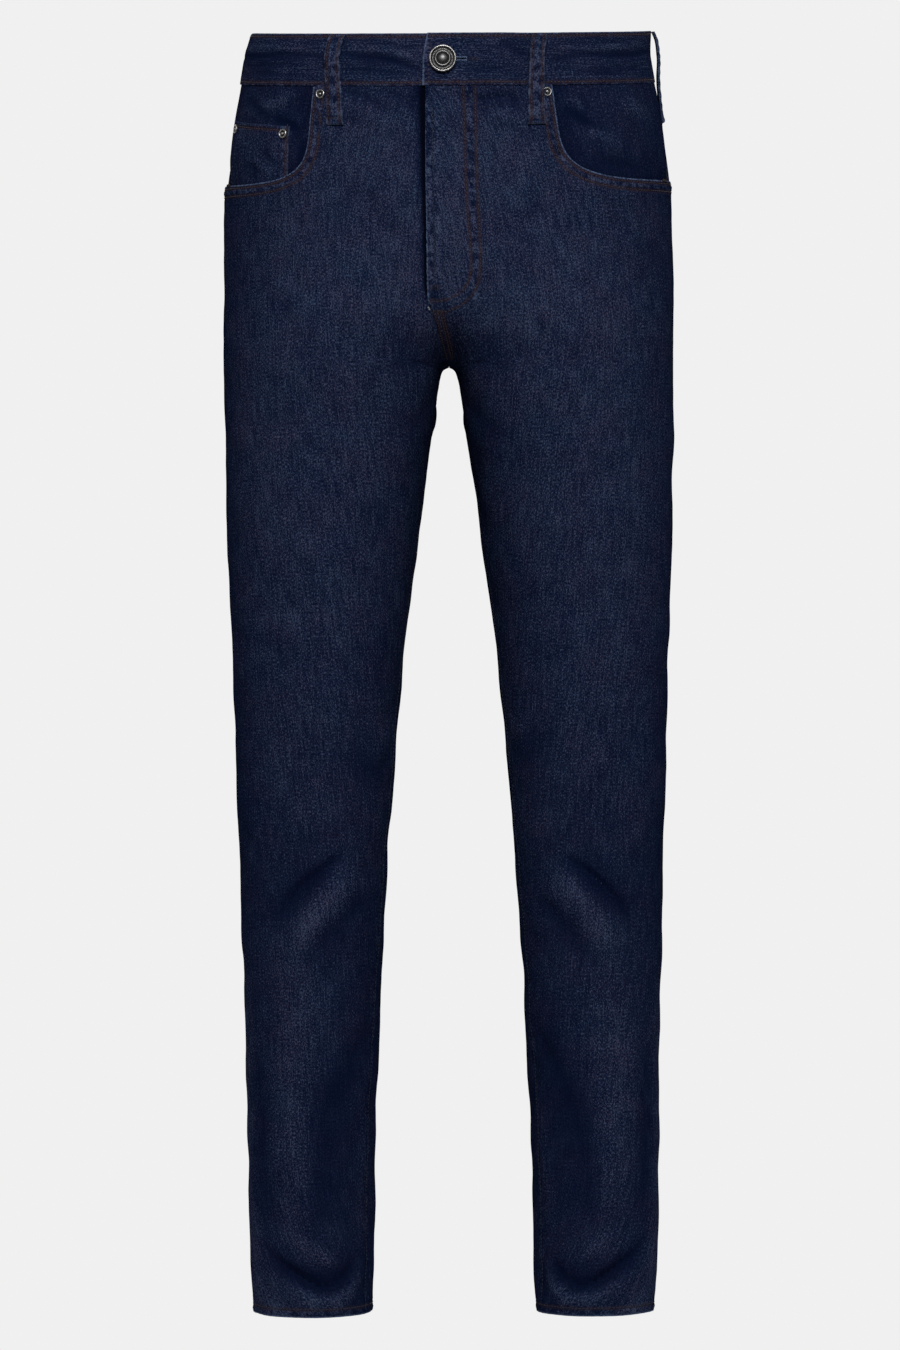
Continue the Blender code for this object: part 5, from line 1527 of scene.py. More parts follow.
def repeats_tree():
    """Small rounded shapes along lines, turned with the line and with the cloth under it."""
    turn = "FunctionNodeAlignRotationToVector"
    vector = "ShaderNodeVectorMath"
    nodes = {
        "even": ("GeometryNodeResampleCurve", {"mode": "LENGTH"}, {}),
        "shape": ("GeometryNodeMeshUVSphere", {}, {"Segments": 6, "Rings": 4, "Radius": 0.5}),
        "tangent": ("GeometryNodeInputTangent", {}, {}),
        "normal": ("GeometryNodeInputNamedAttribute", {"data_type": "FLOAT_VECTOR"},
                   {"Name": "cloth_normal"}),
        "along": (turn, {"axis": "X"}, {}),
        "upright": (turn, {"axis": "Z", "pivot_axis": "X"}, {}),
        "size": ("ShaderNodeCombineXYZ", {}, {}),
        "chance": ("FunctionNodeRandomValue", {"data_type": "FLOAT_VECTOR"},
                   {"Min": (-1, -1, -1), "Max": (1, 1, 1), "Seed": 11}),
        "spread": (vector, {"operation": "SCALE"}, {}),
        "more": (vector, {"operation": "ADD"}, {1: (1, 1, 1)}),
        "sized": (vector, {"operation": "MULTIPLY"}, {}),
        "copies": ("GeometryNodeInstanceOnPoints", {}, {}),
    }
    links = (
        ("curve", "Curve", "even", "Curve"), ("given", "Pitch", "even", "Length"),
        ("even", "Curve", "copies", "Points"), ("shape", "Mesh", "copies", "Instance"),
        ("tangent", "Tangent", "along", "Vector"), ("along", "Rotation", "upright", "Rotation"),
        ("normal", "Attribute", "upright", "Vector"), ("upright", "Rotation", "copies", "Rotation"),
        ("given", "Length", "size", "X"), ("given", "Width", "size", "Y"),
        ("given", "Height", "size", "Z"),
        ("chance", "Value", "spread", 0), ("given", "Unevenness", "spread", "Scale"),
        ("spread", "Vector", "more", 0), ("more", "Vector", "sized", 0), ("size", "Vector", "sized", 1),
        ("sized", "Vector", "copies", "Scale"), ("copies", "Instances", "real", "Geometry"),
    )
    return grow_tree("along_a_line", ("Pitch", "Length", "Width", "Height", "Unevenness"), nodes, links)


def line_mesh(name, lines):
    """An object of open lines, each a pair of points in millimetres and cloth normals."""
    points, edges, normals = [], [], []
    for point, normal in lines:
        start = len(points)
        points += (point * MM).tolist()
        normals += normal.tolist()
        edges += [(start + k, start + k + 1) for k in range(len(point) - 1)]
    mesh = bpy.data.meshes.new(name)
    mesh.from_pydata(points, edges, [])
    layer = mesh.attributes.new("cloth_normal", "FLOAT_VECTOR", "POINT")
    layer.data.foreach_set("vector", np.array(normals, np.float32).ravel())
    return add_object(name, mesh)


def grown(name, tree, lines, finish, **sizes):
    """A plain mesh made by a tree along lines."""
    source = line_mesh(name + "_lines", lines)
    modifier = source.modifiers.new("grow", "NODES")
    modifier.node_group = tree
    for item in tree.interface.items_tree:
        if item.name in sizes:
            modifier[item.identifier] = sizes[item.name]
        elif item.name == "Finish":
            modifier[item.identifier] = finish
    source.update_tag()
    graph = bpy.context.evaluated_depsgraph_get()
    mesh = bpy.data.meshes.new_from_object(source.evaluated_get(graph))
    bpy.data.objects.remove(source, do_unlink=True)
    mesh.name = name
    mesh.shade_smooth()
    piece = add_object(name, mesh)
    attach(piece, "root")
    return piece


def thread_tree():
    """Round threads that follow lines, for bar tacks and the buttonhole."""
    nodes = {
        "half": ("ShaderNodeMath", {"operation": "MULTIPLY"}, {1: 0.5}),
        "circle": ("GeometryNodeCurvePrimitiveCircle", {}, {"Resolution": 5}),
        "tube": ("GeometryNodeCurveToMesh", {}, {"Fill Caps": True}),
    }
    links = (("curve", "Curve", "tube", "Curve"), ("given", "Thickness", "half", 0),
             ("half", "Value", "circle", "Radius"), ("circle", "Curve", "tube", "Profile Curve"),
             ("tube", "Mesh", "real", "Geometry"))
    return grow_tree("thread_on_a_line", ("Thickness",), nodes, links)


def even_points(line):
    """The same line with points about 1.6 mm apart."""
    line = np.array(line, float)
    run = np.concatenate([[0], np.cumsum(np.hypot(*np.diff(line, axis=0).T))])
    steps = np.linspace(0, run[-1], max(3, int(run[-1] / 1.6)))
    return np.stack([np.interp(steps, run, line[:, k]) for k in (0, 1)], axis=-1)


def front_spots(side, line):
    """The shares and levels of (distance from the centre front, level) points."""
    across, level = np.asarray(line, float).T
    return across / front_length(side, level), level


SUNK = -0.12                 # how deep the middle of a stitch lies
TACKED = 0.12                # and how high the middle of a tack's thread
BOUND = 0.1                  # and of the buttonhole's


def on_front(side, line):
    share, level = front_spots(side, even_points(line))
    relief = front_relief(side, share, level) + GROOVE_DEPTH + hem_waves(side, share, level)
    return place(side, share, level, front_lift(side, share, level) + relief * 0.5 + SUNK)


def tack_on_front(side, spots):
    share, level = front_spots(side, spots)
    relief = front_relief(side, share, level) + hem_waves(side, share, level)
    return place(side, share, level, front_lift(side, share, level) + relief + TACK_ON_FRONT)


def on_hem(side):
    share = np.linspace(0.015, 1.985, 260)
    return place(side, share, HEM + HEM_ROW, SUNK + hem_waves(side, share, HEM + HEM_ROW))


def on_band(side, share, level, lift=SUNK):
    return place_on_band(side, share, level, band_lift(side, share) + lift)


def on_facing(side, line):
    share, level = front_spots(side, even_points(line))
    seat = facing_lift(side, share, level) + COIN_GAP + COIN_THICKNESS
    return place(side, share, level, seat + SUNK)


def on_pocket(side, across, down, lift=SUNK):
    share, level, _ = pocket_spot(side, across, down)
    return place(side, share, level, POCKET_SEATED + POCKET_THICKNESS + lift)


def pocket_row(inset):
    """The row round the sides and the point of a back pocket."""
    wide = 1 - inset / (POCKET_TOP_WIDTH / 2)
    low = 1 - inset / POCKET_TALL
    corners = [(-wide, 0.006), (-wide, low), (0, low), (wide, low), (wide, 0.006)]
    spots = []
    for start, stop in zip(corners[:-1], corners[1:]):
        steps = np.linspace(0, 1, 60, endpoint=stop == corners[-1])[:, None]
        spots.append(start + np.subtract(stop, start) * steps)
    return np.concatenate(spots).T


def on_loop(loop, across, level, lift):
    shares, seat = loop_spot(loop["side"], loop["share"], loop["lean"], across, level)
    return place_on_band(loop["side"], shares, level, seat + LOOP_THICKNESS + lift)


def zigzag(start, stop, half_width, pitch):
    """A dense zigzag between two (across, level) points."""
    start, stop = np.array(start, float), np.array(stop, float)
    run = stop - start
    length = math.hypot(*run)
    aside = np.array([run[1], -run[0]]) / length * half_width
    count = int(length / pitch)
    return np.array([start + run * k / count + aside * (-1) ** k for k in range(count + 1)])


# Bar tacks: side, start, stop and half width, across and up
TACK_ON_FRONT = 0.2
FRONT_TACKS = (
    (+1, (-16.0, -194.6), (-7.2, -195.2), 2.1), (+1, (-15.6, -204.4), (-10.0, -205.0), 1.6),
    (+1, (-13.4, -213.0), (-6.4, -213.8), 1.4), (+1, (88.5, -70), (89.8, -79), 1.0),
    (-1, (209, -103.5), (219, -104.0), 1.0), (+1, (198, -101), (208, -101.5), 1.0),
)
BUTTONHOLE_TACKS = (
    ((15.2, BUTTON_LEVEL), (20.2, BUTTON_LEVEL), 2.1),
    ((20.2, BUTTON_LEVEL), (25.6, BUTTON_LEVEL - 0.4), 0.8),
)


def stitch_lines():
    """All stitched rows by piece: lines of points on the cloth."""
    front, blue, back, band, loops = [], [], [], [], []
    across_pocket = np.linspace(-0.97, 0.97, 80)
    yoke_shares = np.linspace(1.004, 1.996, 160)
    for side in (+1, -1):
        front += [on_front(side, row) for row in FRONT_ROWS[side][BLUE_ROWS[side]:]]
        blue += [on_front(side, row) for row in FRONT_ROWS[side][:BLUE_ROWS[side]]]
        blue.append(on_hem(side))
        back += [place(side, yoke_shares, yoke_level(yoke_shares) + SEAM_GAP / 2 + away, SUNK)
                 for away in YOKE_ROWS]
        back += [on_pocket(side, *pocket_row(inset)) for inset in POCKET_ROWS]
        for drop in POCKET_HEM:
            down = drop / POCKET_TALL
            back.append(on_pocket(side, across_pocket, np.full(80, down),
                                  SUNK + pocket_bulge(across_pocket, down)))
        begin = (2.4 - FLY_EDGE) / BAND_FRONT if side > 0 else 0.0
        share = np.linspace(begin, 2.0, int((2.0 - begin) * 150))
        band += [on_band(side, share, band_crest(side, share) - BAND_TOP_ROW),
                 on_band(side, share, BAND_SEAM + BAND_BOTTOM_ROW)]
    for away in CENTRE_BACK_ROWS:
        across, level = even_points([(away, BAND_SEAM - 2), (away, FORK + 4)]).T
        share = 2 - across / back_length(+1, level)
        back.append(place(+1, share, level, SUNK + hem_waves(+1, share, level)))
    ends = [(COIN_SHARES[k] * float(front_length(-1, COIN_TOP[k])) + inset, COIN_TOP[k] - COIN_ROW)
            for k, inset in ((0, 1.5), (1, -1.5))]
    coin = [on_facing(-1, ends)]
    for share, inset in ((COIN_SHARES[0], COIN_SIDE_ROW), (COIN_SHARES[1], -COIN_SIDE_ROW)):
        coin.append(on_facing(-1, [(share * float(front_length(-1, level)) + inset, level)
                                   for level in (-52.5, -80, -104)]))
    for loop in LOOPS:
        loops += [on_loop(loop, across, np.linspace(20.5, -44.5, 50), SUNK)
                  for across in (-LOOP_ROWS, LOOP_ROWS)]
    level = np.linspace(WAIST_TOP - 3, BAND_SEAM + 2.6, 26)
    band.append(on_band(+1, front_share(+1, np.full(26, -FLY_EDGE + 2.6), 0.0), level))
    return {"stitches_front": front + coin, "stitches_back": back, "stitches_band": band,
            "stitches_loops": loops, "stitches_blue": blue}


def tack_lines():
    """Bar tacks: at the fly, the pockets, the loops' ends and the buttonhole."""
    tacks = [tack_on_front(side, zigzag(start, stop, half, 0.42))
             for side, start, stop, half in FRONT_TACKS]
    for loop in LOOPS:
        for level in (19.0, -47.4):
            tacks.append(on_loop(loop, *zigzag((-5.4, level), (5.4, level), 1.1, 0.42).T, TACKED))
    for side in (+1, -1):
        for over in (-0.965, 0.965):
            tacks.append(on_pocket(side, *zigzag((over, 0.012), (over, 0.075), 0.014, 0.0035).T, TACKED))
    for start, stop, half in BUTTONHOLE_TACKS:
        across, level = zigzag(start, stop, half, 0.4).T
        tacks.append(on_band(+1, across / BAND_FRONT, level, BOUND))
    return tacks


def purl_lines():
    """The thread that binds the buttonhole's edges."""
    across = np.arange(BUTTONHOLE[0] + 0.5, BUTTONHOLE[1] + 0.2, 0.22)
    reach = slit(across) + np.where(np.arange(len(across)) % 2 == 0, -0.1, 1.5)
    return [on_band(+1, across / BAND_FRONT, BUTTON_LEVEL + half * reach, BOUND) for half in (+1, -1)]


def thread_end():
    """A loose end of white thread at the foot of the fly."""
    return [place(+1, *front_spots(+1, zigzag((-17.7, -210.0), (-16.9, -211.8), 0.5, 0.22)), 2.3)]


# ---------------------------------------------------------------------------------------------
# Metal

# Turned profiles from the top down the outside: radius, height and tarnish
BUTTON_PROFILE = ((0, 4.3, 0.62), (0.9, 4.26, 0.64), (1.8, 4.1, 0.68), (2.7, 3.8, 0.74), (3.6, 3.3, 0.85),
                  (4.2, 2.8, 0.9), (4.45, 2.5, 1), (4.7, 2.5, 1), (4.95, 2.9, 0.8), (5.2, 3.5, 0.45),
                  (5.6, 3.8, 0.42), (6.0, 3.75, 0.5), (6.3, 3.3, 0.9), (6.5, 2.7, 0.97),
                  (6.8, 2.3, 0.9), (7.9, 2.25, 0.82),
                  (8.9, 2.3, 0.9), (9.25, 2.8, 0.97), (9.5, 3.5, 0.35), (9.8, 3.9, 0.05), (10.2, 3.95, 0),
                  (10.6, 3.65, 0.05), (10.95, 3.1, 0.2), (11.1, 2.5, 0.5), (11.0, 2.0, 0.8), (10.6, 1.4, 0.9),
                  (10.0, 1.1, 0.9), (3.2, 0.8, 0.9), (1.7, 0.4, 0.9), (1.45, 0.0, 0.9), (1.4, -2.9, 0.9),
                  (0, -2.9, 0.9))
RIVET_PROFILE = ((0, 1.55, 0.1), (0.5, 1.5, 0.1), (0.9, 1.3, 0.3), (1.15, 0.8, 0.9), (1.4, 0.45, 1),
                 (1.9, 0.35, 1), (2.3, 0.5, 0.95), (2.55, 0.95, 0.4), (2.9, 1.3, 0), (3.3, 1.3, 0),
                 (3.65, 0.95, 0.2), (3.85, 0.5, 0.6), (3.8, 0.2, 0.8), (3.4, 0.0, 0.9), (0, 0.0, 0.9))
# Each rivet: name, side, distance from the centre front and level
RIVETS = (("rivet_mouth_right", -1, 102.5, -26.8), ("rivet_mouth_left", +1, 79.0, -25.6),
          ("rivet_coin_inner", -1, 138.0, -60.0), ("rivet_coin_outer", -1, 201.0, -56.5))
BUTTON_DOTS = 18
DOT_CIRCLE = 7.9
DOT_RADIUS = 0.68
DOT_PROFILE = ((0, 0.7, 0.1), (0.3, 0.6, 0.2), (0.48, 0.25, 0.6), (0.52, -0.1, 1), (0, -0.1, 1))


def stand_on(side, share, level, lift, put=place):
    """A frame whose +Z is the skin's normal and whose origin is lifted off the skin."""
    point, normal = put(side, np.array([share]), np.array([level]), lift)
    turn = Vector(normal[0]).to_track_quat("Z", "Y").to_matrix().to_4x4()
    return Matrix.Translation(Vector(point[0])) @ turn


def turned(profile, steps):
    """Points, faces and tarnish of a turned shape."""
    points, tarnish, rings = [], [], []
    for radius, up, dull in profile:
        turns = [2 * math.pi * k / steps for k in range(steps if radius else 1)]
        rings.append([len(points) + k for k in range(len(turns))])
        points += [(radius * math.cos(turn), radius * math.sin(turn), up) for turn in turns]
        tarnish += [dull] * len(turns)
    faces = []
    for above, below in zip(rings[:-1], rings[1:]):
        for k in range(steps):
            n = (k + 1) % steps
            if len(above) == 1:
                faces.append((above[0], below[k], below[n]))
            elif len(below) == 1:
                faces.append((above[n], above[k], below[0]))
            else:
                faces.append((above[k], below[k], below[n], above[n]))
    return points, faces, tarnish


def make_metal(name, shapes, at, finish):
    """A metal piece of closed shapes, placed by a frame in millimetres."""
    points, faces, tarnish = [], [], []
    for shape_points, shape_faces, shape_tarnish in shapes:
        start = len(points)
        points += [tuple((at @ Vector(p)) * MM) for p in shape_points]
        faces += [tuple(start + k for k in face) for face in shape_faces]
        tarnish += shape_tarnish
    return solid(name, points, faces, [finish], {"tarnish": tarnish}, sharp=60)


def dot_shapes():
    """The ring of small domes in the button's recess."""
    domes = []
    for k in range(BUTTON_DOTS):
        angle = 2 * math.pi * k / BUTTON_DOTS
        profile = [(radius * DOT_RADIUS / 0.52, up, dull) for radius, up, dull in DOT_PROFILE]
        points, faces, tarnish = turned(profile, 8)
        move = (DOT_CIRCLE * math.cos(angle), DOT_CIRCLE * math.sin(angle), 2.3)
        domes.append(([tuple(a + b for a, b in zip(p, move)) for p in points], faces, tarnish))
    return domes


def make_hardware(metal):
    share = float(front_share(+1, BUTTON_X, 0.0))
    at = stand_on(+1, share, BUTTON_LEVEL, BAND_OUTER + BAND_LAP_LIFT + 0.3, place_on_band)
    make_metal("shank_button", [turned(BUTTON_PROFILE, 72)] + dot_shapes(), at, metal)
    for name, side, from_centre, level in RIVETS:
        share = float(front_share(side, from_centre, level))
        if "coin" in name:
            seat = float(facing_lift(side, np.array(share), np.array(level))) + COIN_GAP + COIN_THICKNESS
        else:
            seat = float(front_lift(side, share, level))
        make_metal(name, [turned(RIVET_PROFILE, 40)], stand_on(side, share, level, seat + 0.25), metal)


# ---------------------------------------------------------------------------------------------
# Materials

class Shades:
    """Builds a material's nodes in plain steps."""

    def __init__(self, name):
        self.material = bpy.data.materials.new(name)
        self.material.use_nodes = True
        self.nodes = self.material.node_tree.nodes
        self.links = self.material.node_tree.links
        self.shader = self.nodes["Principled BSDF"]

    def give(self, socket, value):
        if isinstance(value, bpy.types.NodeSocket):
            self.links.new(value, socket)
        else:
            socket.default_value = value

    def node(self, kind, inputs, output=0, **settings):
        made = self.nodes.new(kind)
        for key, value in settings.items():
            setattr(made, key, value)
        for key, value in inputs.items():
            self.give(made.inputs[key], value)
        return made.outputs[output]

    def math(self, operation, a, b, clamp=False):
        return self.node("ShaderNodeMath", {0: a, 1: b}, operation=operation, use_clamp=clamp)

    def times(self, a, b):
        return self.math("MULTIPLY", a, b)

    def about(self, value, middle=0.5):
        return self.math("SUBTRACT", value, middle)

    def total(self, *parts, clamp=False):
        """The sum of some parts, of which a pair is multiplied first."""
        parts = [self.times(*part) if isinstance(part, tuple) else part for part in parts]
        result = parts.pop(0)
        while parts:
            result = self.math("ADD", result, parts.pop(0), clamp and not parts)
        return result

    def fact(self, name):
        return self.node("ShaderNodeAttribute", {}, "Fac", attribute_name=name,
                         attribute_type="GEOMETRY")

    def cloth(self):
        return self.node("ShaderNodeUVMap", {}, uv_map="cloth")

    def span(self, value, low, high):
        """0 at low and 1 at high, smooth between."""
        return self.node("ShaderNodeMapRange", {"Value": value, "From Min": low, "From Max": high},
                         "Result", interpolation_type="SMOOTHSTEP")

    def noise(self, where, scale, detail=2.0, roughness=0.5, stretch=(1, 1, 1)):
        moved = self.node("ShaderNodeMapping", {"Vector": where, "Scale": stretch})
        return self.node("ShaderNodeTexNoise", {"Vector": moved, "Scale": scale, "Detail": detail,
                                                "Roughness": roughness}, "Fac")

    def ramp(self, value, *stops):
        """A colour for a value, from (place, colour) stops."""
        made = self.nodes.new("ShaderNodeValToRGB")
        self.give(made.inputs["Fac"], value)
        points = made.color_ramp.elements
        while len(points) < len(stops):
            points.new(0.5)
        for point, (at, colour) in zip(points, stops):
            point.position = at
            point.color = (*colour, 1)
        return made.outputs["Color"]

    def mix(self, amount, a, b, blend="MIX"):
        b = (*b, 1) if isinstance(b, tuple) else b
        return self.node("ShaderNodeMix", {0: amount, 6: a, 7: b}, 2, data_type="RGBA", blend_type=blend)

    def finish(self, colour, rough, bumps=None, distance=0.0, strength=1.0, **fixed):
        """Gives the shader its colour, roughness and small heights, and returns the material."""
        self.give(self.shader.inputs["Base Color"], colour)
        self.give(self.shader.inputs["Roughness"], rough)
        for key, value in fixed.items():
            self.give(self.shader.inputs[SHADER_INPUTS[key]], value)
        if bumps is not None:
            heights = {"Height": bumps, "Distance": distance, "Strength": strength}
            self.give(self.shader.inputs["Normal"], self.node("ShaderNodeBump", heights, "Normal"))
        return self.material


TWILL_RUN = 63               # degrees
SHADE_BLUE = (0.0012, 0.0020, 0.0060)
DEEP_BLUE = (0.0032, 0.0060, 0.0210)
MIDDLE_BLUE = (0.0119, 0.0168, 0.0422)
PALE_BLUE = (0.057, 0.067, 0.114)
WORN_EDGE = (0.092, 0.134, 0.228)
REVERSE_DEEP = (0.035, 0.045, 0.075)
REVERSE_PALE = (0.110, 0.125, 0.165)
RUST = (0.040, 0.016, 0.014)
BROWN_TINGE = (0.030, 0.017, 0.019)
TARNISH = (0.022, 0.022, 0.025)
# Deep and pale shades of the threads
BROWN_THREAD = ((0.0150, 0.0088, 0.0115), (0.037, 0.0225, 0.0255))
BLUE_THREAD = ((0.06, 0.10, 0.19), (0.18, 0.26, 0.40))
DARK_BLUE_THREAD = ((0.0035, 0.0060, 0.0150), (0.012, 0.020, 0.040))
PALE_THREAD = ((0.30, 0.30, 0.30), (0.55, 0.55, 0.54))
SHADER_INPUTS = {"specular": "Specular IOR Level", "metallic": "Metallic"}


def denim(name, lighter=0.0, least_weave=0.72, edge_wear=1.0):
    """Dyed twill. The worn parts show more of their pale weft than the others, and the pieces' facts also
    paint shade and light into its colour.
    """
    s = Shades(name)
    cloth = s.cloth()
    wear_and_light, dark, edge, seam = (s.fact(fact) for fact in ("wear_and_painted_light", "dark", "edge_mm", "seam_mm"))
    grain = s.noise(cloth, 96.0, 1.0, 0.7, (1.15, 0.60, 1.0))
    fleck = s.span(s.noise(cloth, 112.0, 1.0, 0.5, (1.0, 0.48, 1.0)), 0.54, 0.70)
    streak = s.noise(cloth, 62.0, 3.0, 0.6, (1.0, 0.075, 1.0))
    slub = s.noise(cloth, 30.0, 2.0, 0.5, (1.0, 0.11, 1.0))
    mottle = s.noise(cloth, 6.0, 3.0, 0.6)
    patches = s.noise(cloth, 1.7)
    speckle = s.noise(cloth, 78.0, 1.0)
    weave = s.total((s.about(grain), 2.6), (s.about(streak), 1.10), (s.about(slub), 0.34),
                    (s.about(mottle), 0.42), (fleck, 0.25))
    lit = s.total(least_weave, (wear_and_light, 0.75), clamp=True)
    rope = s.times(s.about(s.span(s.noise(cloth, 15.0), 0.36, 0.62), 0.40), s.fact("rope"))
    # The fact dark carries painted shade, with a little darker tone on some whole pieces; near the stitched
    # rows the colour is darkened with painted shade in their grooves.
    value = s.total((wear_and_light, 0.42), 0.205 + lighter, (weave, lit), (s.about(patches), 0.24),
                    (dark, -0.24), (s.span(seam, 1.6, 0.3), -0.16), (rope, 0.64), clamp=True)
    colour = s.ramp(value, (0.0, DEEP_BLUE), (0.5, MIDDLE_BLUE), (1.0, PALE_BLUE))
    hue = s.ramp(s.noise(cloth, 74.0, 1.0), (0.36, (1.0, 0.86, 0.84)), (0.64, (0.70, 0.92, 1.0)))
    cast = s.ramp(s.noise(cloth, 3.1), (0.38, (0.86, 0.98, 1.0)), (0.62, (1.0, 0.91, 0.95)))
    colour = s.mix(1.0, s.mix(1.0, colour, hue, "MULTIPLY"), cast, "MULTIPLY")
    rust = s.times(s.span(speckle, 0.60, 0.72), s.times(s.span(patches, 0.42, 0.62), 0.30))
    tinge = s.times(s.times(s.span(seam, 2.5, 0.7), s.span(speckle, 0.34, 0.60)), 0.66)
    breakup = s.noise(cloth, 45.0, 2.0, 0.6, (1.0, 0.6, 1.0))
    worn = s.times(s.times(s.span(edge, 1.7, 0.35), s.span(breakup, 0.30, 0.62)), 0.70 * edge_wear)
    # The deepest painted shade is mixed towards SHADE_BLUE.
    for amount, other in ((s.span(dark, 0.8, 2.0), SHADE_BLUE), (rust, RUST), (tinge, BROWN_TINGE),
                          (worn, WORN_EDGE)):
        colour = s.mix(amount, colour, other)
    lean = s.node("ShaderNodeMapping", {"Vector": cloth, "Rotation": (0, 0, math.radians(TWILL_RUN))})
    twill = s.node("ShaderNodeTexWave", {"Vector": lean, "Scale": 14.0, "Distortion": 0.6, "Detail": 1.0,
                                         "Detail Scale": 2.0}, "Fac", wave_type="BANDS")
    tall = s.total((grain, 0.75), (streak, 0.45), (twill, 0.14), (mottle, 1.2))
    rough = s.total(0.76, (grain, 0.22), clamp=True)
    return s.finish(colour, rough, tall, 0.00042, 0.8, specular=0.0)


def reverse_denim(name):
    """The inside of the cloth, where the pale weft shows."""
    s = Shades(name)
    cloth = s.cloth()
    grain = s.noise(cloth, 90.0, 2.0, 0.6, (0.62, 1.0, 1.0))
    weft = s.noise(cloth, 55.0, 2.0, 0.6, (0.09, 1.0, 1.0))
    value = s.total((grain, 0.6), (weft, 0.3), (s.noise(cloth, 5.0, 3.0, 0.6), 0.2), clamp=True)
    return s.finish(s.ramp(value, (0.2, REVERSE_DEEP), (0.85, REVERSE_PALE)),
                    s.total(0.8, (grain, 0.15)), s.total(grain, weft), 0.0004, 0.7, specular=0.2)


def thread(name, deep, pale):
    s = Shades(name)
    where = s.node("ShaderNodeTexCoord", {}, "Object")
    fibre = s.noise(where, 2600.0, 2.0, 0.6)
    value = s.total((fibre, 0.5), (s.noise(where, 120.0, 2.0, 0.6), 0.6), clamp=True)
    return s.finish(s.ramp(value, (0.3, deep), (0.8, pale)), s.total(0.5, (fibre, 0.3)),
                    fibre, 0.00012, 0.6, specular=0.3)


def pewter(name):
    s = Shades(name)
    where = s.node("ShaderNodeTexCoord", {}, "Object")
    tarnish = s.fact("tarnish")
    scuffs = s.noise(where, 900.0, 3.0, 0.6)
    value = s.total((scuffs, 0.5), (s.noise(where, 260.0), 0.4), clamp=True)
    bright = s.ramp(value, (0.2, (0.24, 0.235, 0.23)), (0.75, (0.48, 0.47, 0.46)))
    rough = s.total((scuffs, 0.22), s.total(0.24, (tarnish, 0.20)), clamp=True)
    return s.finish(s.mix(tarnish, bright, TARNISH), rough, scuffs, 0.00005, 0.5, metallic=1.0)


def tape_cloth(name):
    s = Shades(name)
    cloth = s.cloth()
    rib = s.node("ShaderNodeTexWave", {"Vector": cloth, "Scale": 22.0, "Distortion": 0.3}, "Fac",
                 bands_direction="Y")
    grain = s.noise(cloth, 110.0)
    value = s.total((rib, 0.4), (grain, 0.5), clamp=True)
    return s.finish(s.ramp(value, (0.2, (0.004, 0.006, 0.016)), (0.9, (0.018, 0.024, 0.055))),
                    s.total(0.7, (grain, 0.2)), value, 0.0002, 0.8)


# ---------------------------------------------------------------------------------------------
# Light and camera

FLOOR_LEVEL = -1.32
FLOOR_RADIUS = 1.1
FLOOR_SIDES = 96
BACKDROP = (0.871, 0.871, 0.871)
AMBIENT = (0.96, 0.98, 1.0)
AMBIENT_STRENGTH = 0.10
CAMERA_PLACE = (-0.0006, -4.5, -0.5067)
CAMERA_ROLL = 0.31
CAMERA_LENS = 145.8
# Square soft lights: name, place, height aimed at, size and watts
LIGHTS = (
    ("key", (0.15, -3.0, 1.55), -0.45, 0.9, 106),
    ("fill_left", (2.6, -2.0, 1.2), -0.5, 1.4, 7),
    ("fill_right", (-2.7, -1.8, 1.2), -0.5, 1.4, 7),
    ("back", (0.3, 3.1, 1.35), -0.45, 0.9, 200),
    ("back_left", (1.9, 2.6, 1.2), -0.5, 1.4, 16),
    ("back_right", (-1.9, 2.6, 1.2), -0.5, 1.4, 16),
    ("side_left", (3.2, 0.4, 1.3), -0.5, 1.4, 20),
    ("side_right", (-3.2, 0.4, 1.3), -0.5, 1.4, 20),
    ("top", (0.0, 0.0, 2.4), -0.3, 1.4, 5),
)


def floor_paper(name):
    s = Shades(name)
    fibre = s.noise(s.node("ShaderNodeTexCoord", {}, "Object"), 40.0, 3.0)
    return s.finish(s.ramp(fibre, (0.2, (0.42, 0.42, 0.42)), (0.8, (0.46, 0.46, 0.46))),
                    s.total(0.7, (fibre, 0.1)))


def make_floor():
    """A pale round floor, well below the hems."""
    turns = [2 * math.pi * k / FLOOR_SIDES for k in range(FLOOR_SIDES)]
    rim = [(FLOOR_RADIUS * math.cos(t), FLOOR_RADIUS * math.sin(t), FLOOR_LEVEL) for t in turns]
    mesh = bpy.data.meshes.new("floor")
    mesh.from_pydata(rim, [], [tuple(range(FLOOR_SIDES))])
    mesh.materials.append(floor_paper("floor_paper"))
    add_object("floor", mesh)


def make_world():
    """A pale backdrop that lights the cloth only a little."""
    world = bpy.data.worlds.new("studio")
    bpy.context.scene.world = world
    world.use_nodes = True
    nodes, links = world.node_tree.nodes, world.node_tree.links
    nodes.clear()
    mix = nodes.new("ShaderNodeMixShader")
    for socket, colour, strength in ((1, AMBIENT, AMBIENT_STRENGTH), (2, BACKDROP, 1.0)):
        shown = nodes.new("ShaderNodeBackground")
        shown.inputs["Color"].default_value = (*colour, 1)
        shown.inputs["Strength"].default_value = strength
        links.new(shown.outputs["Background"], mix.inputs[socket])
    links.new(nodes.new("ShaderNodeLightPath").outputs["Is Camera Ray"], mix.inputs["Fac"])
    links.new(mix.outputs["Shader"], nodes.new("ShaderNodeOutputWorld").inputs["Surface"])


def make_lights():
    for name, spot, aim, size, watts in LIGHTS:
        data = bpy.data.lights.new(name, "AREA")
        data.size = size
        data.energy = watts
        light = add_object(name, data)
        light.location = spot
        light.rotation_mode = "QUATERNION"
        light.rotation_quaternion = (Vector((0, 0, aim)) - Vector(spot)).to_track_quat("-Z", "Y")
        light.visible_camera = False


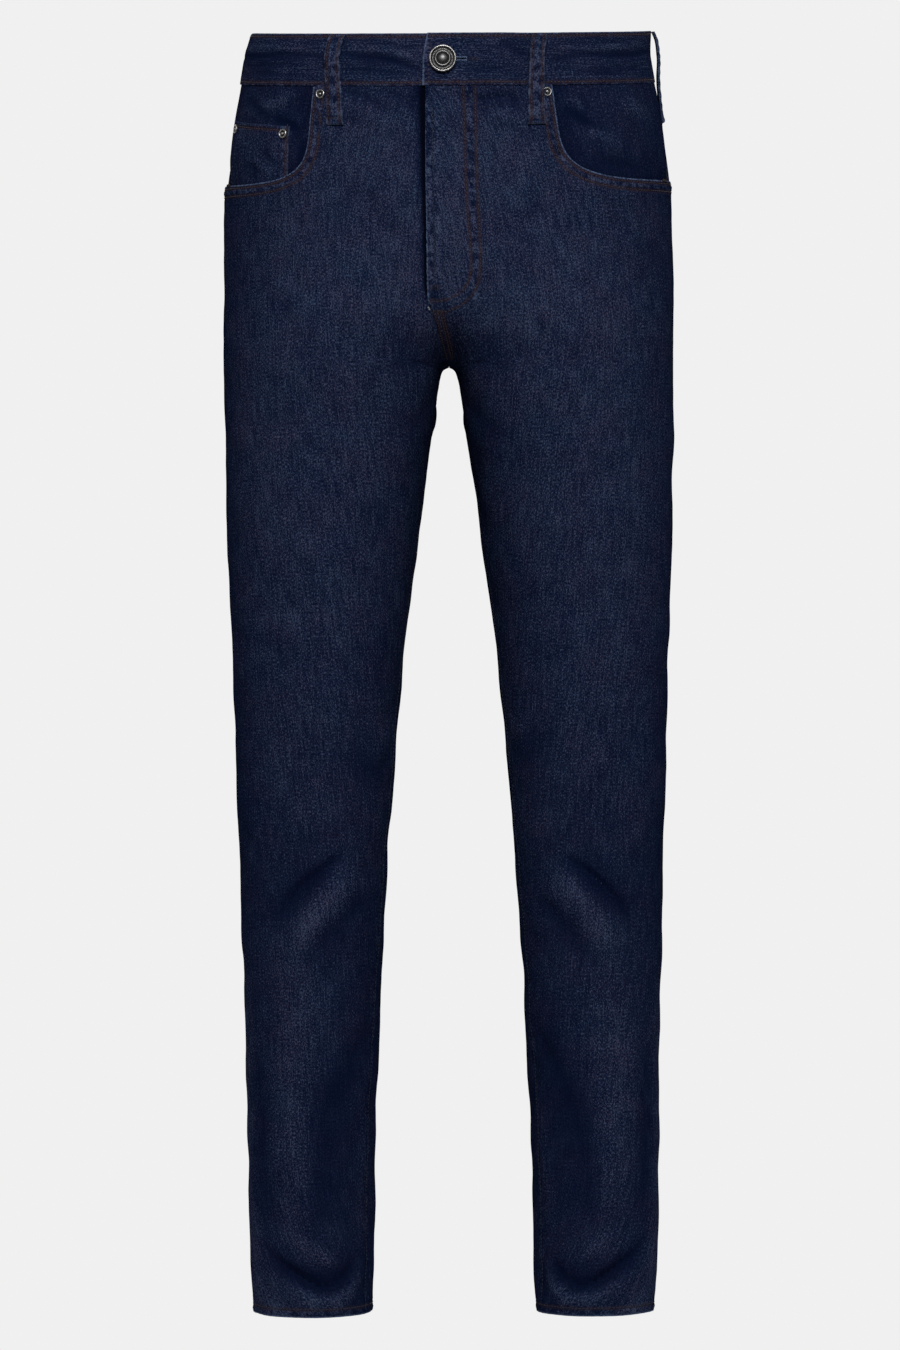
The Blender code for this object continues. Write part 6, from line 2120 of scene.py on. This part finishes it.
def make_camera():
    data = bpy.data.cameras.new("camera")
    data.lens = CAMERA_LENS
    data.sensor_width = 36
    data.sensor_fit = "AUTO"
    data.clip_start = 0.1
    data.clip_end = 60
    camera = add_object("camera", data)
    camera.location = CAMERA_PLACE
    camera.rotation_euler = (math.radians(90), math.radians(CAMERA_ROLL), 0)
    bpy.context.scene.camera = camera


# ---------------------------------------------------------------------------------------------


def main():
    cloth = denim("denim")
    inside = reverse_denim("denim_reverse")
    band_cloth = denim("denim_band", 0.075, 0.85)
    facing_cloth = denim("denim_facing", 0.03, 0.75, 0.45)
    loop_cloth = denim("denim_loop", 0.0, 0.9, 0.30)
    metal = pewter("pewter")
    tape = tape_cloth("zip_tape")
    step = FINE_STEP
    for word, side in (("left", +1), ("right", -1)):
        for part, make, more in (("front", make_front, (step,)), ("back", make_back, (step,)),
                                 ("yoke", make_yoke, ()), ("pocket_facing", make_facing, ()),
                                 ("back_pocket", make_back_pocket, ())):
            name = part + "_" + word
            face = facing_cloth if make is make_facing else cloth
            make(name, side, (face, inside), *more)
    make_coin_pocket("coin_pocket", -1, (facing_cloth, inside))
    make_waistband("waistband", (band_cloth, band_cloth))
    for loop in LOOPS:
        make_belt_loop((loop_cloth, loop_cloth), **loop)
    for name, levels, spans, lifts, finishes, slot, count in (
            ("fly_shield", (-20.3, -60, -105, -150, -180, -196),
             [(-15, 36)] * 4 + [(-15, 30), (-14, 12)],
             (-3.3, -4.3), (cloth, inside), "denim", (16, 50)),
            ("zip_tape", (-20.3, -190), [(-14, 13)] * 2, (-2.0, -2.7), (tape, tape), "zip_tape", (14, 60)),
            ("zip_slider", (-27, -38, -38.6, -62), [(-4, 5), (-3, 4), (-1.5, 2.5), (-1.5, 2.5)],
             (-0.4, -1.7), (metal, metal), "pewter", (7, 30))):
        make_strip(name, levels, spans, lifts, finishes, count)
    brown, blue, dark_blue, pale = (thread(name, *shades) for name, shades in (
        ("brown_thread", BROWN_THREAD), ("blue_thread", BLUE_THREAD),
        ("dark_blue_thread", DARK_BLUE_THREAD), ("pale_thread", PALE_THREAD)))
    repeats = repeats_tree()
    threads = {name: grown(name, repeats, lines, dark_blue if name == "stitches_blue" else brown,
                           Pitch=STITCH_PITCH * MM, Length=STITCH_LENGTH * MM, Width=STITCH_WIDTH * MM,
                           Height=STITCH_HEIGHT * MM, Unevenness=STITCH_UNEVENNESS)
               for name, lines in stitch_lines().items()}
    tree = thread_tree()
    for name, lines, finish, thickness in (
            ("bar_tacks", tack_lines(), brown, THREAD_THICKNESS),
            ("buttonhole_thread", purl_lines(), blue, THREAD_THICKNESS),
            ("thread_end", thread_end(), pale, THREAD_END_THICKNESS)):
        threads[name] = grown(name, tree, lines, finish, Thickness=thickness * MM)
    make_hardware(metal)
    make_floor()
    make_world()
    make_lights()
    make_camera()
    bpy.context.scene.view_settings.view_transform = "Standard"
    bpy.context.scene.view_settings.look = "None"


main()
